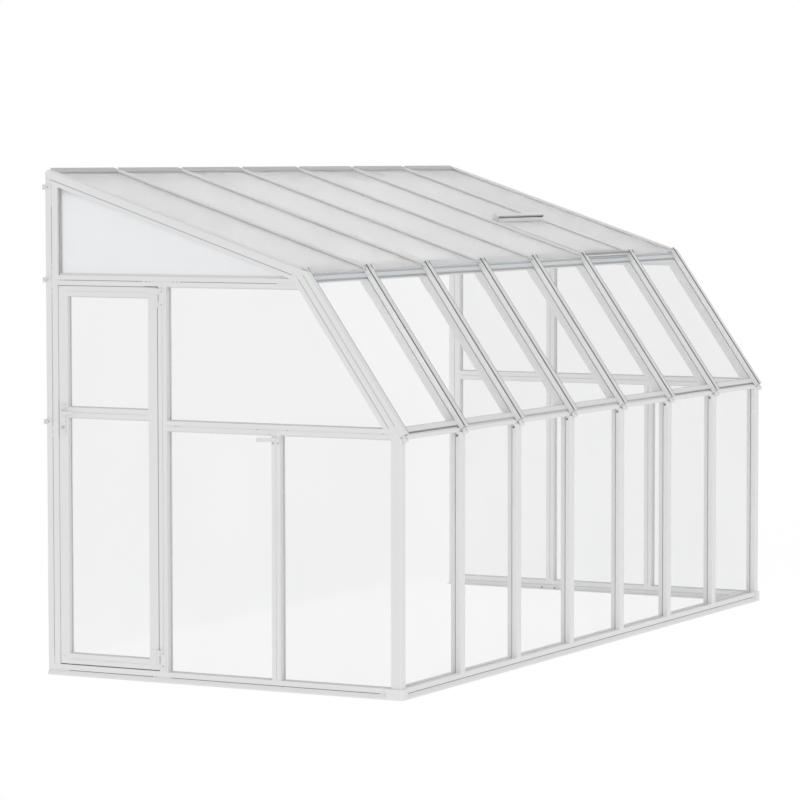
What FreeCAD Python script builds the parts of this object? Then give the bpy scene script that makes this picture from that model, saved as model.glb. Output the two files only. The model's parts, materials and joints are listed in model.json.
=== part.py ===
import FreeCAD, Part
import math
import os

# A lean-to sunroom: X runs along the house wall, -Y faces the garden, Z is up.
# The door is in the end wall at -X. Sizes are in millimetres, angles in degrees.

Vec = FreeCAD.Vector

# Overall frame
bay_pitch = 600.0          # centre to centre of the bars and front posts
bay_count = 7
wall_y = 960.0             # plane of the house wall
room_depth = 1863.0        # house wall to the outer face of the front glazing
roof_run = 1406.0          # house wall to the bend of the bars at the eave
eave_height = 1930.5       # top of the bars at that bend
roof_pitch = 18.3
knee_foot_height = 1210.0  # foot of the sloping glazing
knee_overhang = 9.0        # that foot in front of the front glazing

# Glazing and its grooves
roof_sheet = 6.0
clear_sheet = 4.0
groove_depth = 12.0
edge_gap = 1.0             # room left at the edge of a panel in its groove

# Sections of the bars and posts
bar_width = 46.0
bar_web = 8.0              # rib between the two panels beside a bar
bar_underside = 52.0       # outer face of the roof sheets to the room side of a rafter
knee_underside = 41.0      # the same on the knee bars
end_knee_underside = 50.0  # the same on the two knee bars at the ends
roof_rise = 8.0            # top of the rafters above the roof sheets
knee_rise = 30.0           # top of the knee bars above the knee panels
cap_round = 6.0
cap_skin = 2.5
cap_groove = 4.0           # groove along the middle of the sloping bars
cap_groove_depth = 3.0
post_underside = 25.0
post_rise = 28.0
corner_depth = 24.0        # front glazing to the room side of the corner posts
tube_wall = 2.0
line_groove = 3.0          # shadow line along the outer faces
line_depth = 2.0
rafter_lip = 20.0          # lower lip of the end rafters, below their shadow line
knee_lip = 24.0            # the same on the end knee bars
knee_step = 6.0            # bevelled step along the outer face of the end knee bars
knee_step_level = -3.0

# Rails, sills and the end walls
sill_height = 50.0
sill_inside = 40.0         # front glazing to the room side of the front sill
sill_toe = 38.0            # front glazing to the toe of the front sill
toe_height = 8.0
sill_line = 24.0           # height of the shadow line along the sills
end_toe = 8.0              # how far the end sills step out at the ground
corner_leg = 46.0
corner_round = 14.0
anchor_flange = 36.0
anchor_plate = 4.0
anchor_inset = 150.0       # anchor holes from the wall and from the base corner
anchor_radius = 4.5
mid_rail_drop = 6.0        # centre of the mid rails below the foot of the knee
top_rail_drop = 56.5       # centre of the top rails below the bend at the eave
front_rail_drop = 33.0     # underside of the front rail below the foot of the knee
front_rail_depth = 52.0
foot_lap = 10.0            # knee panels past the foot of the knee
foot_ledge = 8.0           # ledge that the knee panels stand on, past their lower edge
foot_gap = 2.0
door_bay = 639.0           # house wall to the centre of the door jamb
middle_bay = 605.0         # door jamb to the lower mullion
wall_post_width = 66.0

# Eave and ridge
roof_overhang = 30.0
purlin_face = 55.5         # visible face of the eave purlins along the knee
purlin_lap = 10.0
purlin_lip = 16.0          # depth of the purlins at their lower edge
purlin_depth = 34.0
purlin_reach = 46.0        # how far the purlins reach up under the roof
purlin_cove = 5.0
ridge_depth = 40.0
ridge_height = 90.0
ridge_seal_depth = 25.0
ridge_seal_rise = 13.0
ridge_bevel = 14.0         # bevelled upper corner of the end rafters at the wall
nose_reach = 24.0          # knee bar past the foot of the knee
nose_cap_length = 32.0
nose_cap_width = 20.0
nose_cap_rise = 16.0
bracket_arm = 140.0
bracket_plate = 4.0
bracket_width = 40.0

# Door
door_gap = 4.0
door_lift = 8.0            # underside of the leaf above the sill
leaf_thickness = 36.0
stile_width = 49.0
door_rail = 48.0
door_mid_height = 1251.0
threshold_plate = 3.0
sweep_gap = 0.6
seal_reach = 11.0
seal_gap = 0.5
hinge_height = 90.0
hinge_standoff = 7.5       # hinge axis outside the face of the leaf
knuckle_radius = 6.5
knuckle_gap = 0.5
hinge_pin_radius = 3.0
hinge_plate = 3.0
hinge_leaf = 38.0
hinge_inset = 5.0
pin_head = 2.0
running_fit = 0.05

# Handle and lock
handle_drop = 39.0         # middle of the handle plates below the lever
plate_width = 28.0
plate_height = 150.0
plate_thickness = 8.0
lever_offset = 1.0         # lever above the middle of the door's mid rail
lever_neck = 8.0
lever_standoff = 22.0
lever_thickness = 12.0
lever_blade = 16.0
lever_length = 70.0
lever_taper = 0.75
spindle_width = 8.0
spindle_socket = 24.0
case_height = 124.0
case_thickness = 28.0
bolt_drop = 36.0           # lock bolt below the lever
bolt_thickness = 12.0
bolt_height = 18.0
bolt_length = 24.0
bolt_throw = 12.0
bolt_setback = 1.0
bolt_clearance = 0.1
cylinder_drop = 72.0
cylinder_radius = 9.0
cylinder_proud = 3.0
plug_radius = 6.0
plug_length = 30.0
plug_proud = 1.0
keyway_width = 2.0
keyway_height = 7.0
keyway_depth = 20.0
strike_plate = 1.6
strike_height = 60.0

# Door catch and wall tabs
catch_drop = 20.0          # middle of the catch below the mid rail
catch_depth = 18.0
catch_plate = 4.0
catch_reach = 62.0
catch_side = 34.0
catch_arm = 9.0
tab_plate = 3.0
tab_leg = 28.0
tab_height = 24.0
tab_hole_radius = 4.0
tab_below_rafter = 22.0

# Roof vent
vent_top = 540.0           # hinge axis up the slope from the eave
vent_axis_rise = 8.0       # hinge axis above the roof sheets
vent_foot = -2.0           # underside of the vent frame, from the face of the roof sheets
vent_rise = 12.0
vent_side_gap = 4.0
vent_bar = 24.0
vent_sheet_level = 3.0
vent_bite = 10.0
vent_top_gap = 7.0         # vent frame to its hinge axis
lug_radius = 6.0
lug_width = 30.0
lug_spread = 360.0
ear_width = 20.0
side_play = 0.5
vent_pin_radius = 3.0
upstand = 6.0
upstand_rise = 40.0        # top of the header's upstand above the roof sheets
hood_reach = 21.0          # hood over the hinge, down the slope from its axis
hood_plate = 4.0
upstand_gap = 1.0
header_width = 50.0
header_depth = 40.0
vent_seal_width = 44.0
vent_seal_gap = 0.8
stay_pivot = 62.0          # stay pivot up the slope from the eave
stay_level = -7.0
stay_length = 320.0
stay_width = 12.0
stay_thickness = 4.0
stay_pin_radius = 2.5
stay_hole_radius = 3.6
stay_hole_pitch = 50.0
stay_hole_count = 5
stay_play = 0.4
tongue_plate = 4.0
peg_radius = 3.0
peg_length = 13.0
peg_block = 12.0
peg_level = -30.0
peg_play = 1.2

# Screws
screw_head_radius = 4.0
screw_head_height = 2.4
screw_shank_radius = 2.0
screw_shank_length = 7.0

# Values that follow from the driving dimensions
half_bar = bar_width / 2
half_web = bar_web / 2
half_clear = clear_sheet / 2
half_run = bay_pitch * bay_count / 2
bar_places = [bay_pitch * index - half_run for index in range(bay_count + 1)]
front_y = wall_y - room_depth
pitch = math.radians(roof_pitch)
bend_y = wall_y - roof_run
foot_y = front_y - knee_overhang
foot_distance = math.hypot(bend_y - foot_y, eave_height - knee_foot_height)
foot_slope = math.atan2(eave_height - knee_foot_height, bend_y - foot_y)
knee = foot_slope - math.asin(knee_rise / foot_distance)
half_bend = (knee - pitch) / 2
mid_rail_height = knee_foot_height - mid_rail_drop
top_rail_height = eave_height - top_rail_drop
mid_rail_top = mid_rail_height + half_bar
mid_rail_bottom = mid_rail_height - half_bar
top_rail_top = top_rail_height + half_bar
top_rail_bottom = top_rail_height - half_bar
front_rail_bottom = knee_foot_height - front_rail_drop
front_rail_inner = front_y + front_rail_depth
jamb_y = wall_y - door_bay
mullion_y = jamb_y - middle_bay
wall_post_y = wall_y - wall_post_width
corner_post_y = front_y + corner_depth
lever_height = door_mid_height + lever_offset
catch_height = mid_rail_bottom - catch_drop
vent_bay = bay_count - 2   # the vent is in the bay next to the last one


# Slopes: s runs along the glazing from the eave corner, v is height above its outer face

def rise_meeting(roof_v, knee_v):
    width = math.sin(knee - pitch)
    y = (roof_v * math.cos(knee) - knee_v * math.cos(pitch)) / width
    z = (roof_v * math.sin(knee) - knee_v * math.sin(pitch)) / width
    return (y, z)


corner_y = bend_y - rise_meeting(roof_rise, knee_rise)[0]
corner_z = eave_height - rise_meeting(roof_rise, knee_rise)[1]


def roof_at(s, v):
    y = corner_y + s * math.cos(pitch) - v * math.sin(pitch)
    z = corner_z + s * math.sin(pitch) + v * math.cos(pitch)
    return (y, z)


def knee_at(s, v):
    y = corner_y - s * math.cos(knee) - v * math.sin(knee)
    z = corner_z - s * math.sin(knee) + v * math.cos(knee)
    return (y, z)


def roof_s(y, v):
    return (y - corner_y + v * math.sin(pitch)) / math.cos(pitch)


def roof_height(y, v):
    return roof_at(roof_s(y, v), v)[1]


def knee_s(z, v):
    return (corner_z + v * math.cos(knee) - z) / math.sin(knee)


def knee_height(y, v):
    s = (corner_y - v * math.sin(knee) - y) / math.cos(knee)
    return knee_at(s, v)[1]


def mitre_s(v):
    return -v * math.tan(half_bend)


def bend_at(roof_v, knee_v):
    y, z = rise_meeting(roof_v, knee_v)
    return (corner_y + y, corner_z + z)


foot_s = knee_s(knee_foot_height, 0)
ledge_s = foot_s + foot_lap + foot_ledge
nose_s = foot_s + nose_reach
rail_top_s = knee_s(mid_rail_top, -clear_sheet)


# Solids from outlines; a third entry marks the middle of an arc

def wire(outline, place):
    edges = []
    count = len(outline)
    index = 0
    while index < count:
        start = outline[index]
        following = outline[(index + 1) % count]
        if len(following) == 3:
            finish = outline[(index + 2) % count]
            arc = Part.Arc(place(*start[:2]), place(*following[:2]), place(*finish[:2]))
            edges.append(arc.toShape())
            index += 2
        else:
            edges.append(Part.makeLine(place(*start[:2]), place(*following[:2])))
            index += 1
    return Part.Wire(edges)


def extrude(outline, holes, place, sweep):
    wires = [wire(loop, place) for loop in [outline] + list(holes)]
    face = Part.makeFace(wires, "Part::FaceMakerBullseye")
    solid = face.extrude(sweep)
    return solid.Solids[0]


def prism_x(outline, x_from, x_to, holes=()):
    return extrude(outline, holes, lambda y, z: Vec(x_from, y, z), Vec(x_to - x_from, 0, 0))


def prism_z(outline, z_from, z_to, holes=()):
    return extrude(outline, holes, lambda x, y: Vec(x, y, z_from), Vec(0, 0, z_to - z_from))


def block(x_from, x_to, y_from, y_to, z_from, z_to):
    low = Vec(min(x_from, x_to), min(y_from, y_to), min(z_from, z_to))
    size = (abs(x_to - x_from), abs(y_to - y_from), abs(z_to - z_from))
    return Part.makeBox(size[0], size[1], size[2], low)


def rectangle(a_from, a_to, b_from, b_to):
    return [(a_from, b_from), (a_to, b_from), (a_to, b_to), (a_from, b_to)]


def rod(x, y, z, axis, radius, length):
    return Part.makeCylinder(radius, length, Vec(x, y, z), axis)


def one(shape):
    return shape.removeSplitter().Solids[0]


def on_roof(shape):
    turn = FreeCAD.Rotation(Vec(1, 0, 0), roof_pitch)
    moved = shape.copy()
    moved.Placement = FreeCAD.Placement(Vec(0, corner_y, corner_z), turn)
    return moved


def end_x(end, out):
    return end * (half_run + out)


# Sections: u across a bar, v away from the room

def bar_section(sheet, underside, rise, groove):
    turn = min(cap_round, rise / 3)
    bevel = turn * (1 - math.sqrt(0.5))
    outline = [(-half_bar, -underside), (half_bar, -underside), (half_bar, -sheet)]
    outline += [(half_web, -sheet), (half_web, 0), (half_bar, 0), (half_bar, rise - turn)]
    outline += [(half_bar - bevel, rise - bevel, "arc"), (half_bar - turn, rise)]
    if groove:
        floor = rise - cap_groove_depth
        outline += [(cap_groove / 2, rise), (cap_groove / 2, floor)]
        outline += [(-cap_groove / 2, floor), (-cap_groove / 2, rise)]
    outline += [(turn - half_bar, rise), (bevel - half_bar, rise - bevel, "arc"), (-half_bar, rise - turn)]
    outline += [(-half_bar, 0), (-half_web, 0), (-half_web, -sheet), (-half_bar, -sheet)]
    side = half_bar - tube_wall
    holes = [rectangle(-side, side, tube_wall - underside, -sheet - tube_wall)]
    if rise > roof_rise:
        skin = half_bar - turn
        holes.append(rectangle(-skin, skin, cap_skin, rise - cap_groove_depth - cap_skin))
    return outline, holes


def end_section(sheet, underside, rise, lip, step):
    slot_top = groove_depth - underside
    turn = min(cap_round, rise / 3)
    bevel = turn * (1 - math.sqrt(0.5))
    face = half_bar - step
    outline = [(-half_bar, -underside), (-half_clear, -underside), (-half_clear, slot_top)]
    outline += [(half_clear, slot_top), (half_clear, -underside), (half_bar, -underside)]
    if lip:
        line = lip - underside
        outline += [(half_bar, line), (half_bar - line_depth, line)]
        outline += [(half_bar - line_depth, line + line_groove), (half_bar, line + line_groove)]
    if step:
        outline += [(half_bar, knee_step_level), (face, knee_step_level + step)]
    outline += [(face, rise - turn), (face - bevel, rise - bevel, "arc"), (face - turn, rise)]
    outline += [(turn - half_bar, rise), (bevel - half_bar, rise - bevel, "arc"), (-half_bar, rise - turn)]
    outline += [(-half_bar, 0), (-half_web, 0), (-half_web, -sheet), (-half_bar, -sheet)]
    side = half_bar - tube_wall
    holes = [rectangle(-side, side - line_depth, slot_top + tube_wall, -sheet - tube_wall)]
    if rise > roof_rise:
        holes.append(rectangle(turn - half_bar, face - turn, cap_skin, rise - cap_skin))
    return outline, holes


def frame_section(low_slot, high_slot):
    floor = half_bar - groove_depth
    half_line = line_groove / 2
    outline = [(-half_bar, -half_bar), (half_bar, -half_bar)]
    if high_slot:
        outline += [(half_bar, -half_clear), (floor, -half_clear)]
        outline += [(floor, half_clear), (half_bar, half_clear)]
    outline += [(half_bar, half_bar), (half_line, half_bar), (half_line, half_bar - line_depth)]
    outline += [(-half_line, half_bar - line_depth), (-half_line, half_bar), (-half_bar, half_bar)]
    if low_slot:
        outline += [(-half_bar, half_clear), (-floor, half_clear)]
        outline += [(-floor, -half_clear), (-half_bar, -half_clear)]
    side = half_bar - tube_wall
    inner = rectangle(-side, side, -side, -half_clear - tube_wall)
    outer = rectangle(-side, side, half_clear + tube_wall, side - line_depth)
    return outline, [inner, outer]


# Space under the sloping bars, down to the ground, for trimming what meets them

def under_bars(depth, x_from, x_to):
    ridge = (wall_y, roof_height(wall_y, -depth))
    knee_depth = depth + end_knee_underside - bar_underside
    bend = bend_at(-depth, -knee_depth)
    foot = knee_at(knee_s(0, -knee_depth), -knee_depth)
    return prism_x([(wall_y, 0), ridge, bend, foot], x_from, x_to)


def end_space(end, depth):
    return under_bars(depth, end_x(end, -bar_width), end_x(end, bar_width))


# Base

def sill_outline():
    face = front_y - post_rise
    toe = front_y - sill_toe
    line_top = sill_line + line_groove
    slot = sill_height - groove_depth
    outline = [(front_y + sill_inside, 0), (toe, 0), (toe, toe_height), (face, sill_line)]
    outline += [(face + line_depth, sill_line), (face + line_depth, line_top), (face, line_top)]
    outline += [(face, sill_height), (front_y, sill_height), (front_y, slot)]
    outline += [(front_y + clear_sheet, slot), (front_y + clear_sheet, sill_height)]
    outline += [(front_y + sill_inside, sill_height)]
    hollow = rectangle(face + 2 * tube_wall + line_depth, front_y + sill_inside - tube_wall,
                       tube_wall, slot - tube_wall)
    return outline, [hollow]


def front_sill():
    outline, holes = sill_outline()
    return prism_x(outline, half_bar - half_run, half_run - half_bar, holes)


def anchor_places():
    return [front_y + corner_leg + anchor_inset, wall_y - anchor_inset]


def end_sill(end):
    line_top = sill_line + line_groove
    slot = sill_height - groove_depth
    step = half_bar - line_depth
    outline = [(-half_bar - anchor_flange, 0), (half_bar + end_toe, 0), (half_bar + end_toe, toe_height)]
    outline += [(half_bar, sill_line), (step, sill_line), (step, line_top), (half_bar, line_top)]
    outline += [(half_bar, sill_height), (half_clear, sill_height), (half_clear, slot)]
    outline += [(-half_clear, slot), (-half_clear, sill_height), (-half_bar, sill_height)]
    outline += [(-half_bar, anchor_plate), (-half_bar - anchor_flange, anchor_plate)]
    hollow = rectangle(tube_wall - half_bar, step - tube_wall, tube_wall, slot - tube_wall)
    start = front_y + corner_leg
    sill = extrude(outline, [hollow], lambda a, z: Vec(end_x(end, a), start, z), Vec(0, wall_y - start, 0))
    for y in anchor_places():
        hole_x = end_x(end, -half_bar - anchor_flange / 2)
        hole = rod(hole_x, y, 0, Vec(0, 0, 1), anchor_radius, anchor_plate)
        sill = sill.cut(hole)
    return one(sill)


def corner_edges(solid, x, y):
    found = []
    for edge in solid.Edges:
        ends = [vertex.Point for vertex in edge.Vertexes]
        if all(abs(p.x - x) < edge_gap and abs(p.y - y) < edge_gap for p in ends):
            found.append(edge)
    return found


def base_corner(end):
    outer = end_x(end, half_bar + end_toe)
    inner = end_x(end, -half_bar)
    toe = front_y - sill_toe
    slot = sill_height - groove_depth
    back = front_y + corner_leg
    corner = block(inner, outer, toe, back, 0, sill_height)
    corner = corner.makeFillet(corner_round, corner_edges(corner, outer, toe))
    front_slot = block(end_x(end, -half_web), inner, front_y, front_y + clear_sheet, slot, sill_height)
    side_slot = block(end_x(end, -half_clear), end_x(end, half_clear),
                      corner_post_y - groove_depth, back, slot, sill_height)
    return one(corner.cut(front_slot).cut(side_slot))


def threshold():
    return block(door_x(-half_bar), door_x(half_bar), jamb_y + half_bar, wall_post_y,
                 sill_height, sill_height + threshold_plate)


# Uprights

def front_post(x):
    outline, holes = bar_section(clear_sheet, post_underside, post_rise, False)
    return extrude(outline, holes, lambda u, v: Vec(x + u, front_y - v, sill_height),
                   Vec(0, 0, front_rail_bottom - sill_height))


def corner_post(end):
    outline, holes = end_section(clear_sheet, corner_depth, post_rise, 0, 0)
    post = extrude(outline, holes, lambda a, v: Vec(end_x(end, a), front_y - v, sill_height),
                   Vec(0, 0, mid_rail_top - sill_height))
    face = front_y - post_rise
    top = [(corner_post_y, sill_height), (corner_post_y, mid_rail_top), knee_at(rail_top_s, -clear_sheet)]
    top += [knee_at(ledge_s, -clear_sheet), knee_at(ledge_s, 0), (face, knee_height(face, 0))]
    top += [(face, sill_height)]
    return one(post.common(prism_x(top, end_x(end, -bar_width), end_x(end, bar_width))))


def wall_post(end, slot_from):
    outline = rectangle(end_x(end, -half_bar), end_x(end, half_bar), wall_post_y, wall_y)
    hollow = rectangle(end_x(end, tube_wall - half_bar), end_x(end, half_bar - line_depth - tube_wall),
                       wall_post_y + groove_depth + tube_wall, wall_y - tube_wall)
    top = roof_height(wall_y, 0)
    post = prism_z(outline, sill_height, top, [hollow])
    post = post.common(end_space(end, bar_underside))
    slot = block(end_x(end, -half_clear), end_x(end, half_clear),
                 wall_post_y, wall_post_y + groove_depth, slot_from, top)
    middle = wall_y - wall_post_width / 2
    line = block(end_x(end, half_bar - line_depth), end_x(end, half_bar),
                 middle - line_groove / 2, middle + line_groove / 2, sill_height, top)
    return one(post.cut(slot).cut(line))


def upright(end, y, low_slot, high_slot, top):
    outline, holes = frame_section(low_slot, high_slot)
    return extrude(outline, holes, lambda w, a: Vec(end_x(end, a), y + w, sill_height),
                   Vec(0, 0, top - sill_height))


# Rails and beams

def end_rail(end, height, y_from, y_to):
    outline, holes = frame_section(True, True)
    return extrude(outline, holes, lambda w, a: Vec(end_x(end, a), y_from, height + w),
                   Vec(0, y_to - y_from, 0))


def top_rail(end):
    rail = end_rail(end, top_rail_height, front_y, wall_post_y)
    return one(rail.common(end_space(end, bar_underside)))


def front_rail():
    bottom = front_rail_bottom
    slot = bottom + groove_depth
    back = front_y + clear_sheet
    lip = knee_at(ledge_s, 0)
    outline = [(front_rail_inner, bottom), (back, bottom), (back, slot), (front_y, slot)]
    outline += [(front_y, bottom), (lip[0], bottom), lip, knee_at(ledge_s, -clear_sheet)]
    outline += [knee_at(rail_top_s, -clear_sheet), (front_rail_inner, mid_rail_top)]
    skin = clear_sheet + 2 * tube_wall
    near = back + tube_wall
    roof = mid_rail_top - tube_wall
    hollow = [(front_rail_inner - tube_wall, bottom + tube_wall), (near, bottom + tube_wall)]
    hollow += [(near, knee_height(near, -skin)), knee_at(knee_s(roof, -skin), -skin)]
    hollow += [(front_rail_inner - tube_wall, roof)]
    return prism_x(outline, half_bar - half_run, half_run - half_bar, [hollow])


def eave_purlin(bay):
    inner_v = roof_sheet + purlin_depth
    top_s = roof_sheet / math.sin(knee - pitch)
    lap = purlin_face + purlin_lap
    outline = [roof_at(purlin_reach, -roof_sheet), knee_at(top_s, 0)]
    outline += [knee_at((top_s + purlin_face) / 2, -purlin_cove) + ("arc",), knee_at(purlin_face, 0)]
    outline += [knee_at(purlin_face, -clear_sheet), knee_at(lap, -clear_sheet)]
    outline += [knee_at(lap, -purlin_lip), roof_at(purlin_reach, -inner_v)]
    skin = purlin_cove + 2 * tube_wall
    hollow = [roof_at(purlin_reach - tube_wall, -roof_sheet - 2 * tube_wall)]
    hollow += [knee_at(top_s + skin, -skin), knee_at(lap - tube_wall, -skin)]
    hollow += [knee_at(lap - tube_wall, tube_wall - purlin_lip)]
    hollow += [roof_at(purlin_reach - tube_wall, tube_wall - inner_v)]
    return prism_x(outline, bar_places[bay] + half_bar, bar_places[bay + 1] - half_bar, [hollow])


def stay_peg():
    tip = vent_centre + stay_thickness / 2 + peg_play
    root = tip + peg_length
    seat = block(root, root + peg_block, purlin_reach, purlin_reach + peg_block,
                 peg_level - peg_block / 2, peg_level + peg_block / 2)
    peg = rod(tip, purlin_reach + peg_block / 2, peg_level, Vec(1, 0, 0), peg_radius, peg_length)
    return on_roof(seat.fuse(peg))


def ridge_beam():
    face = wall_y - ridge_depth
    low = roof_height(face, -roof_sheet) - ridge_height
    outline = [(wall_y, low), (face, low), (face, roof_height(face, -roof_sheet))]
    outline += [(wall_y, roof_height(wall_y, -roof_sheet))]
    back = wall_y - tube_wall
    front = face + tube_wall
    skin = roof_sheet + 2 * tube_wall
    hollow = [(back, low + tube_wall), (front, low + tube_wall), (front, roof_height(front, -skin))]
    hollow += [(back, roof_height(back, -skin))]
    return prism_x(outline, half_bar - half_run, half_run - half_bar, [hollow])


# Sloping bars

def rafter(section, x, side, ridge_end, knee_depth):
    outline, holes = section
    over = 2 * roof_rise
    start = mitre_s(over)
    length = roof_s(wall_y, over) - start
    run = Vec(0, math.cos(pitch) * length, math.sin(pitch) * length)
    bar = extrude(outline, holes, lambda u, v: Vec(x + side * u, *roof_at(start, v)), run)
    trim = [bend_at(-bar_underside, -knee_depth), (ridge_end, roof_height(ridge_end, -bar_underside))]
    if ridge_end == wall_y:
        end = roof_s(wall_y, roof_rise) - ridge_bevel
        trim += [(wall_y, roof_height(wall_y, roof_rise) - ridge_bevel), roof_at(end, roof_rise)]
        trim += [roof_at(end, over)]
    else:
        trim += [(ridge_end, roof_height(ridge_end, -roof_sheet))]
        trim += [(wall_y, roof_height(wall_y, -roof_sheet)), (wall_y, roof_height(wall_y, over))]
    trim += [roof_at(start, over), (corner_y, corner_z)]
    return one(bar.common(prism_x(trim, x - bar_width, x + bar_width)))


def knee_bar(section, x, side, knee_depth):
    outline, holes = section
    over = knee_rise + roof_rise
    start = mitre_s(over)
    length = nose_s - start
    run = Vec(0, -math.cos(knee) * length, -math.sin(knee) * length)
    bar = extrude(outline, holes, lambda u, v: Vec(x + side * u, *knee_at(start, v)), run)
    trim = [bend_at(-bar_underside, -knee_depth)]
    trim += [knee_at(knee_s(mid_rail_top, -knee_depth), -knee_depth)]
    trim += [knee_at(rail_top_s, -clear_sheet), knee_at(ledge_s, -clear_sheet), knee_at(ledge_s, 0)]
    trim += [knee_at(nose_s, 0), knee_at(nose_s, over), bend_at(roof_rise, over)]
    trim += [roof_at(mitre_s(roof_rise), roof_rise), (corner_y, corner_z)]
    return one(bar.common(prism_x(trim, x - bar_width, x + bar_width)))


def nose_cap(x):
    half = nose_cap_rise / 2
    end = nose_s + nose_cap_length
    outline = [knee_at(nose_s, 0), knee_at(end - half, 0), knee_at(end, half) + ("arc",)]
    outline += [knee_at(end - half, nose_cap_rise), knee_at(nose_s, nose_cap_rise)]
    return prism_x(outline, x - nose_cap_width / 2, x + nose_cap_width / 2)


def eave_bracket(x):
    roof_v = -bar_underside - bracket_plate
    knee_v = -knee_underside - bracket_plate
    outline = [roof_at(bracket_arm, -bar_underside), bend_at(-bar_underside, -knee_underside)]
    outline += [knee_at(bracket_arm, -knee_underside), knee_at(bracket_arm, knee_v)]
    outline += [bend_at(roof_v, knee_v), roof_at(bracket_arm, roof_v)]
    return prism_x(outline, x - bracket_width / 2, x + bracket_width / 2)


# Glazing

def bay_span(bay):
    return bar_places[bay] + half_web + edge_gap, bar_places[bay + 1] - half_web - edge_gap


def roof_panel(bay):
    low = -roof_overhang
    if bay == vent_bay:
        low = vent_top + lug_radius + upstand_gap + upstand + edge_gap
    high = roof_s(wall_y, -roof_sheet) - edge_gap
    outline = [roof_at(low, -roof_sheet), roof_at(high, -roof_sheet), roof_at(high, 0), roof_at(low, 0)]
    sheet = prism_x(outline, *bay_span(bay))
    notch_top = mitre_s(-roof_sheet) + edge_gap
    for x in bar_places[bay:bay + 2]:
        reach = half_bar + edge_gap
        notch = block(x - reach, x + reach, -bar_width, notch_top, -roof_sheet, 0)
        sheet = sheet.cut(on_roof(notch))
    return sheet.Solids[0]


def knee_panel(bay):
    high = purlin_face + foot_gap
    low = foot_s + foot_lap - foot_gap
    outline = [knee_at(high, 0), knee_at(low, 0), knee_at(low, -clear_sheet), knee_at(high, -clear_sheet)]
    return prism_x(outline, *bay_span(bay))


def front_panel(bay):
    bite = groove_depth - edge_gap
    x_from, x_to = bay_span(bay)
    return block(x_from, x_to, front_y, front_y + clear_sheet,
                 sill_height - bite, front_rail_bottom + bite)


def end_panel(end, y_from, y_to, z_from, z_to):
    bite = groove_depth - edge_gap
    sheet = block(end_x(end, -half_clear), end_x(end, half_clear),
                  y_from - bite, y_to + bite, z_from - bite, z_to + bite)
    return sheet.common(end_space(end, bar_underside - bite)).Solids[0]


def gable_panel(end):
    return end_panel(end, front_y, wall_post_y, top_rail_top, roof_height(wall_y, 0))


def upper_panel(end):
    return end_panel(end, front_y, jamb_y - half_bar, mid_rail_top, top_rail_bottom)


def lower_panels(end):
    middle = end_panel(end, mullion_y + half_bar, jamb_y - half_bar, sill_height, mid_rail_bottom)
    front = end_panel(end, corner_post_y, mullion_y - half_bar, sill_height, mid_rail_bottom)
    return [middle, front]


def wall_bay_panels(end):
    y_from = jamb_y + half_bar
    lower = end_panel(end, y_from, wall_post_y, sill_height, mid_rail_bottom)
    upper = end_panel(end, y_from, wall_post_y, mid_rail_top, top_rail_bottom)
    return [lower, upper]


# Seals

def ridge_seal(bay):
    face = wall_y - ridge_seal_depth
    outline = [(face, roof_height(face, 0)), (wall_y, roof_height(wall_y, 0))]
    outline += [(wall_y, roof_height(wall_y, ridge_seal_rise)), (face, roof_height(face, ridge_seal_rise))]
    return prism_x(outline, bar_places[bay] + half_bar, bar_places[bay + 1] - half_bar)


def door_seals():
    inside = door_x(-half_bar)
    outside = door_x(leaf_inner - seal_gap)
    low = sill_height + threshold_plate
    jamb_face = jamb_y + half_bar
    hinge_side = block(inside, outside, jamb_face, jamb_face + seal_reach, low, top_rail_bottom)
    latch_side = block(inside, outside, wall_post_y - seal_reach, wall_post_y, low, top_rail_bottom)
    above = block(inside, outside, jamb_face + seal_reach, wall_post_y - seal_reach,
                  top_rail_bottom - seal_reach, top_rail_bottom)
    return [hinge_side, latch_side, above]


def vent_seal():
    strip = block(bar_places[vent_bay] + half_bar, bar_places[vent_bay + 1] - half_bar,
                  vent_seal_width - purlin_reach, vent_seal_width - edge_gap, -roof_sheet,
                  vent_foot - vent_seal_gap)
    return on_roof(strip)


# Door: a counts outward from the middle of the end wall

def door_x(a):
    return end_x(-1, a)


def stile(edge, inward):
    inner = edge + inward * stile_width
    floor = inner - inward * groove_depth
    slot_out = door_x(leaf_middle + half_clear)
    slot_in = door_x(leaf_middle - half_clear)
    face = door_x(leaf_outer)
    back = door_x(leaf_inner)
    outline = [(face, edge), (face, inner), (slot_out, inner), (slot_out, floor)]
    outline += [(slot_in, floor), (slot_in, inner), (back, inner), (back, edge)]
    hollow = rectangle(door_x(leaf_outer - tube_wall), door_x(leaf_inner + tube_wall),
                       edge + inward * tube_wall, floor - inward * tube_wall)
    return prism_z(outline, leaf_bottom, leaf_top, [hollow])


def latch_stile():
    body = stile(leaf_latch, -1)
    body = body.cut(lock_bore(lever_height, spindle_hole_radius))
    body = body.cut(lock_bore(lever_height - cylinder_drop, cylinder_radius + side_play))
    half_t = bolt_thickness / 2 + bolt_clearance
    half_h = bolt_height / 2 + bolt_clearance
    mouth = block(door_x(leaf_middle - half_t), door_x(leaf_middle + half_t),
                  leaf_latch - 2 * tube_wall, leaf_latch, bolt_level - half_h, bolt_level + half_h)
    return one(body.cut(mouth))


def lock_bore(height, radius):
    length = leaf_thickness + 2 * plate_thickness
    return rod(door_x(leaf_outer + plate_thickness), handle_y, height, Vec(1, 0, 0), radius, length)


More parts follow.
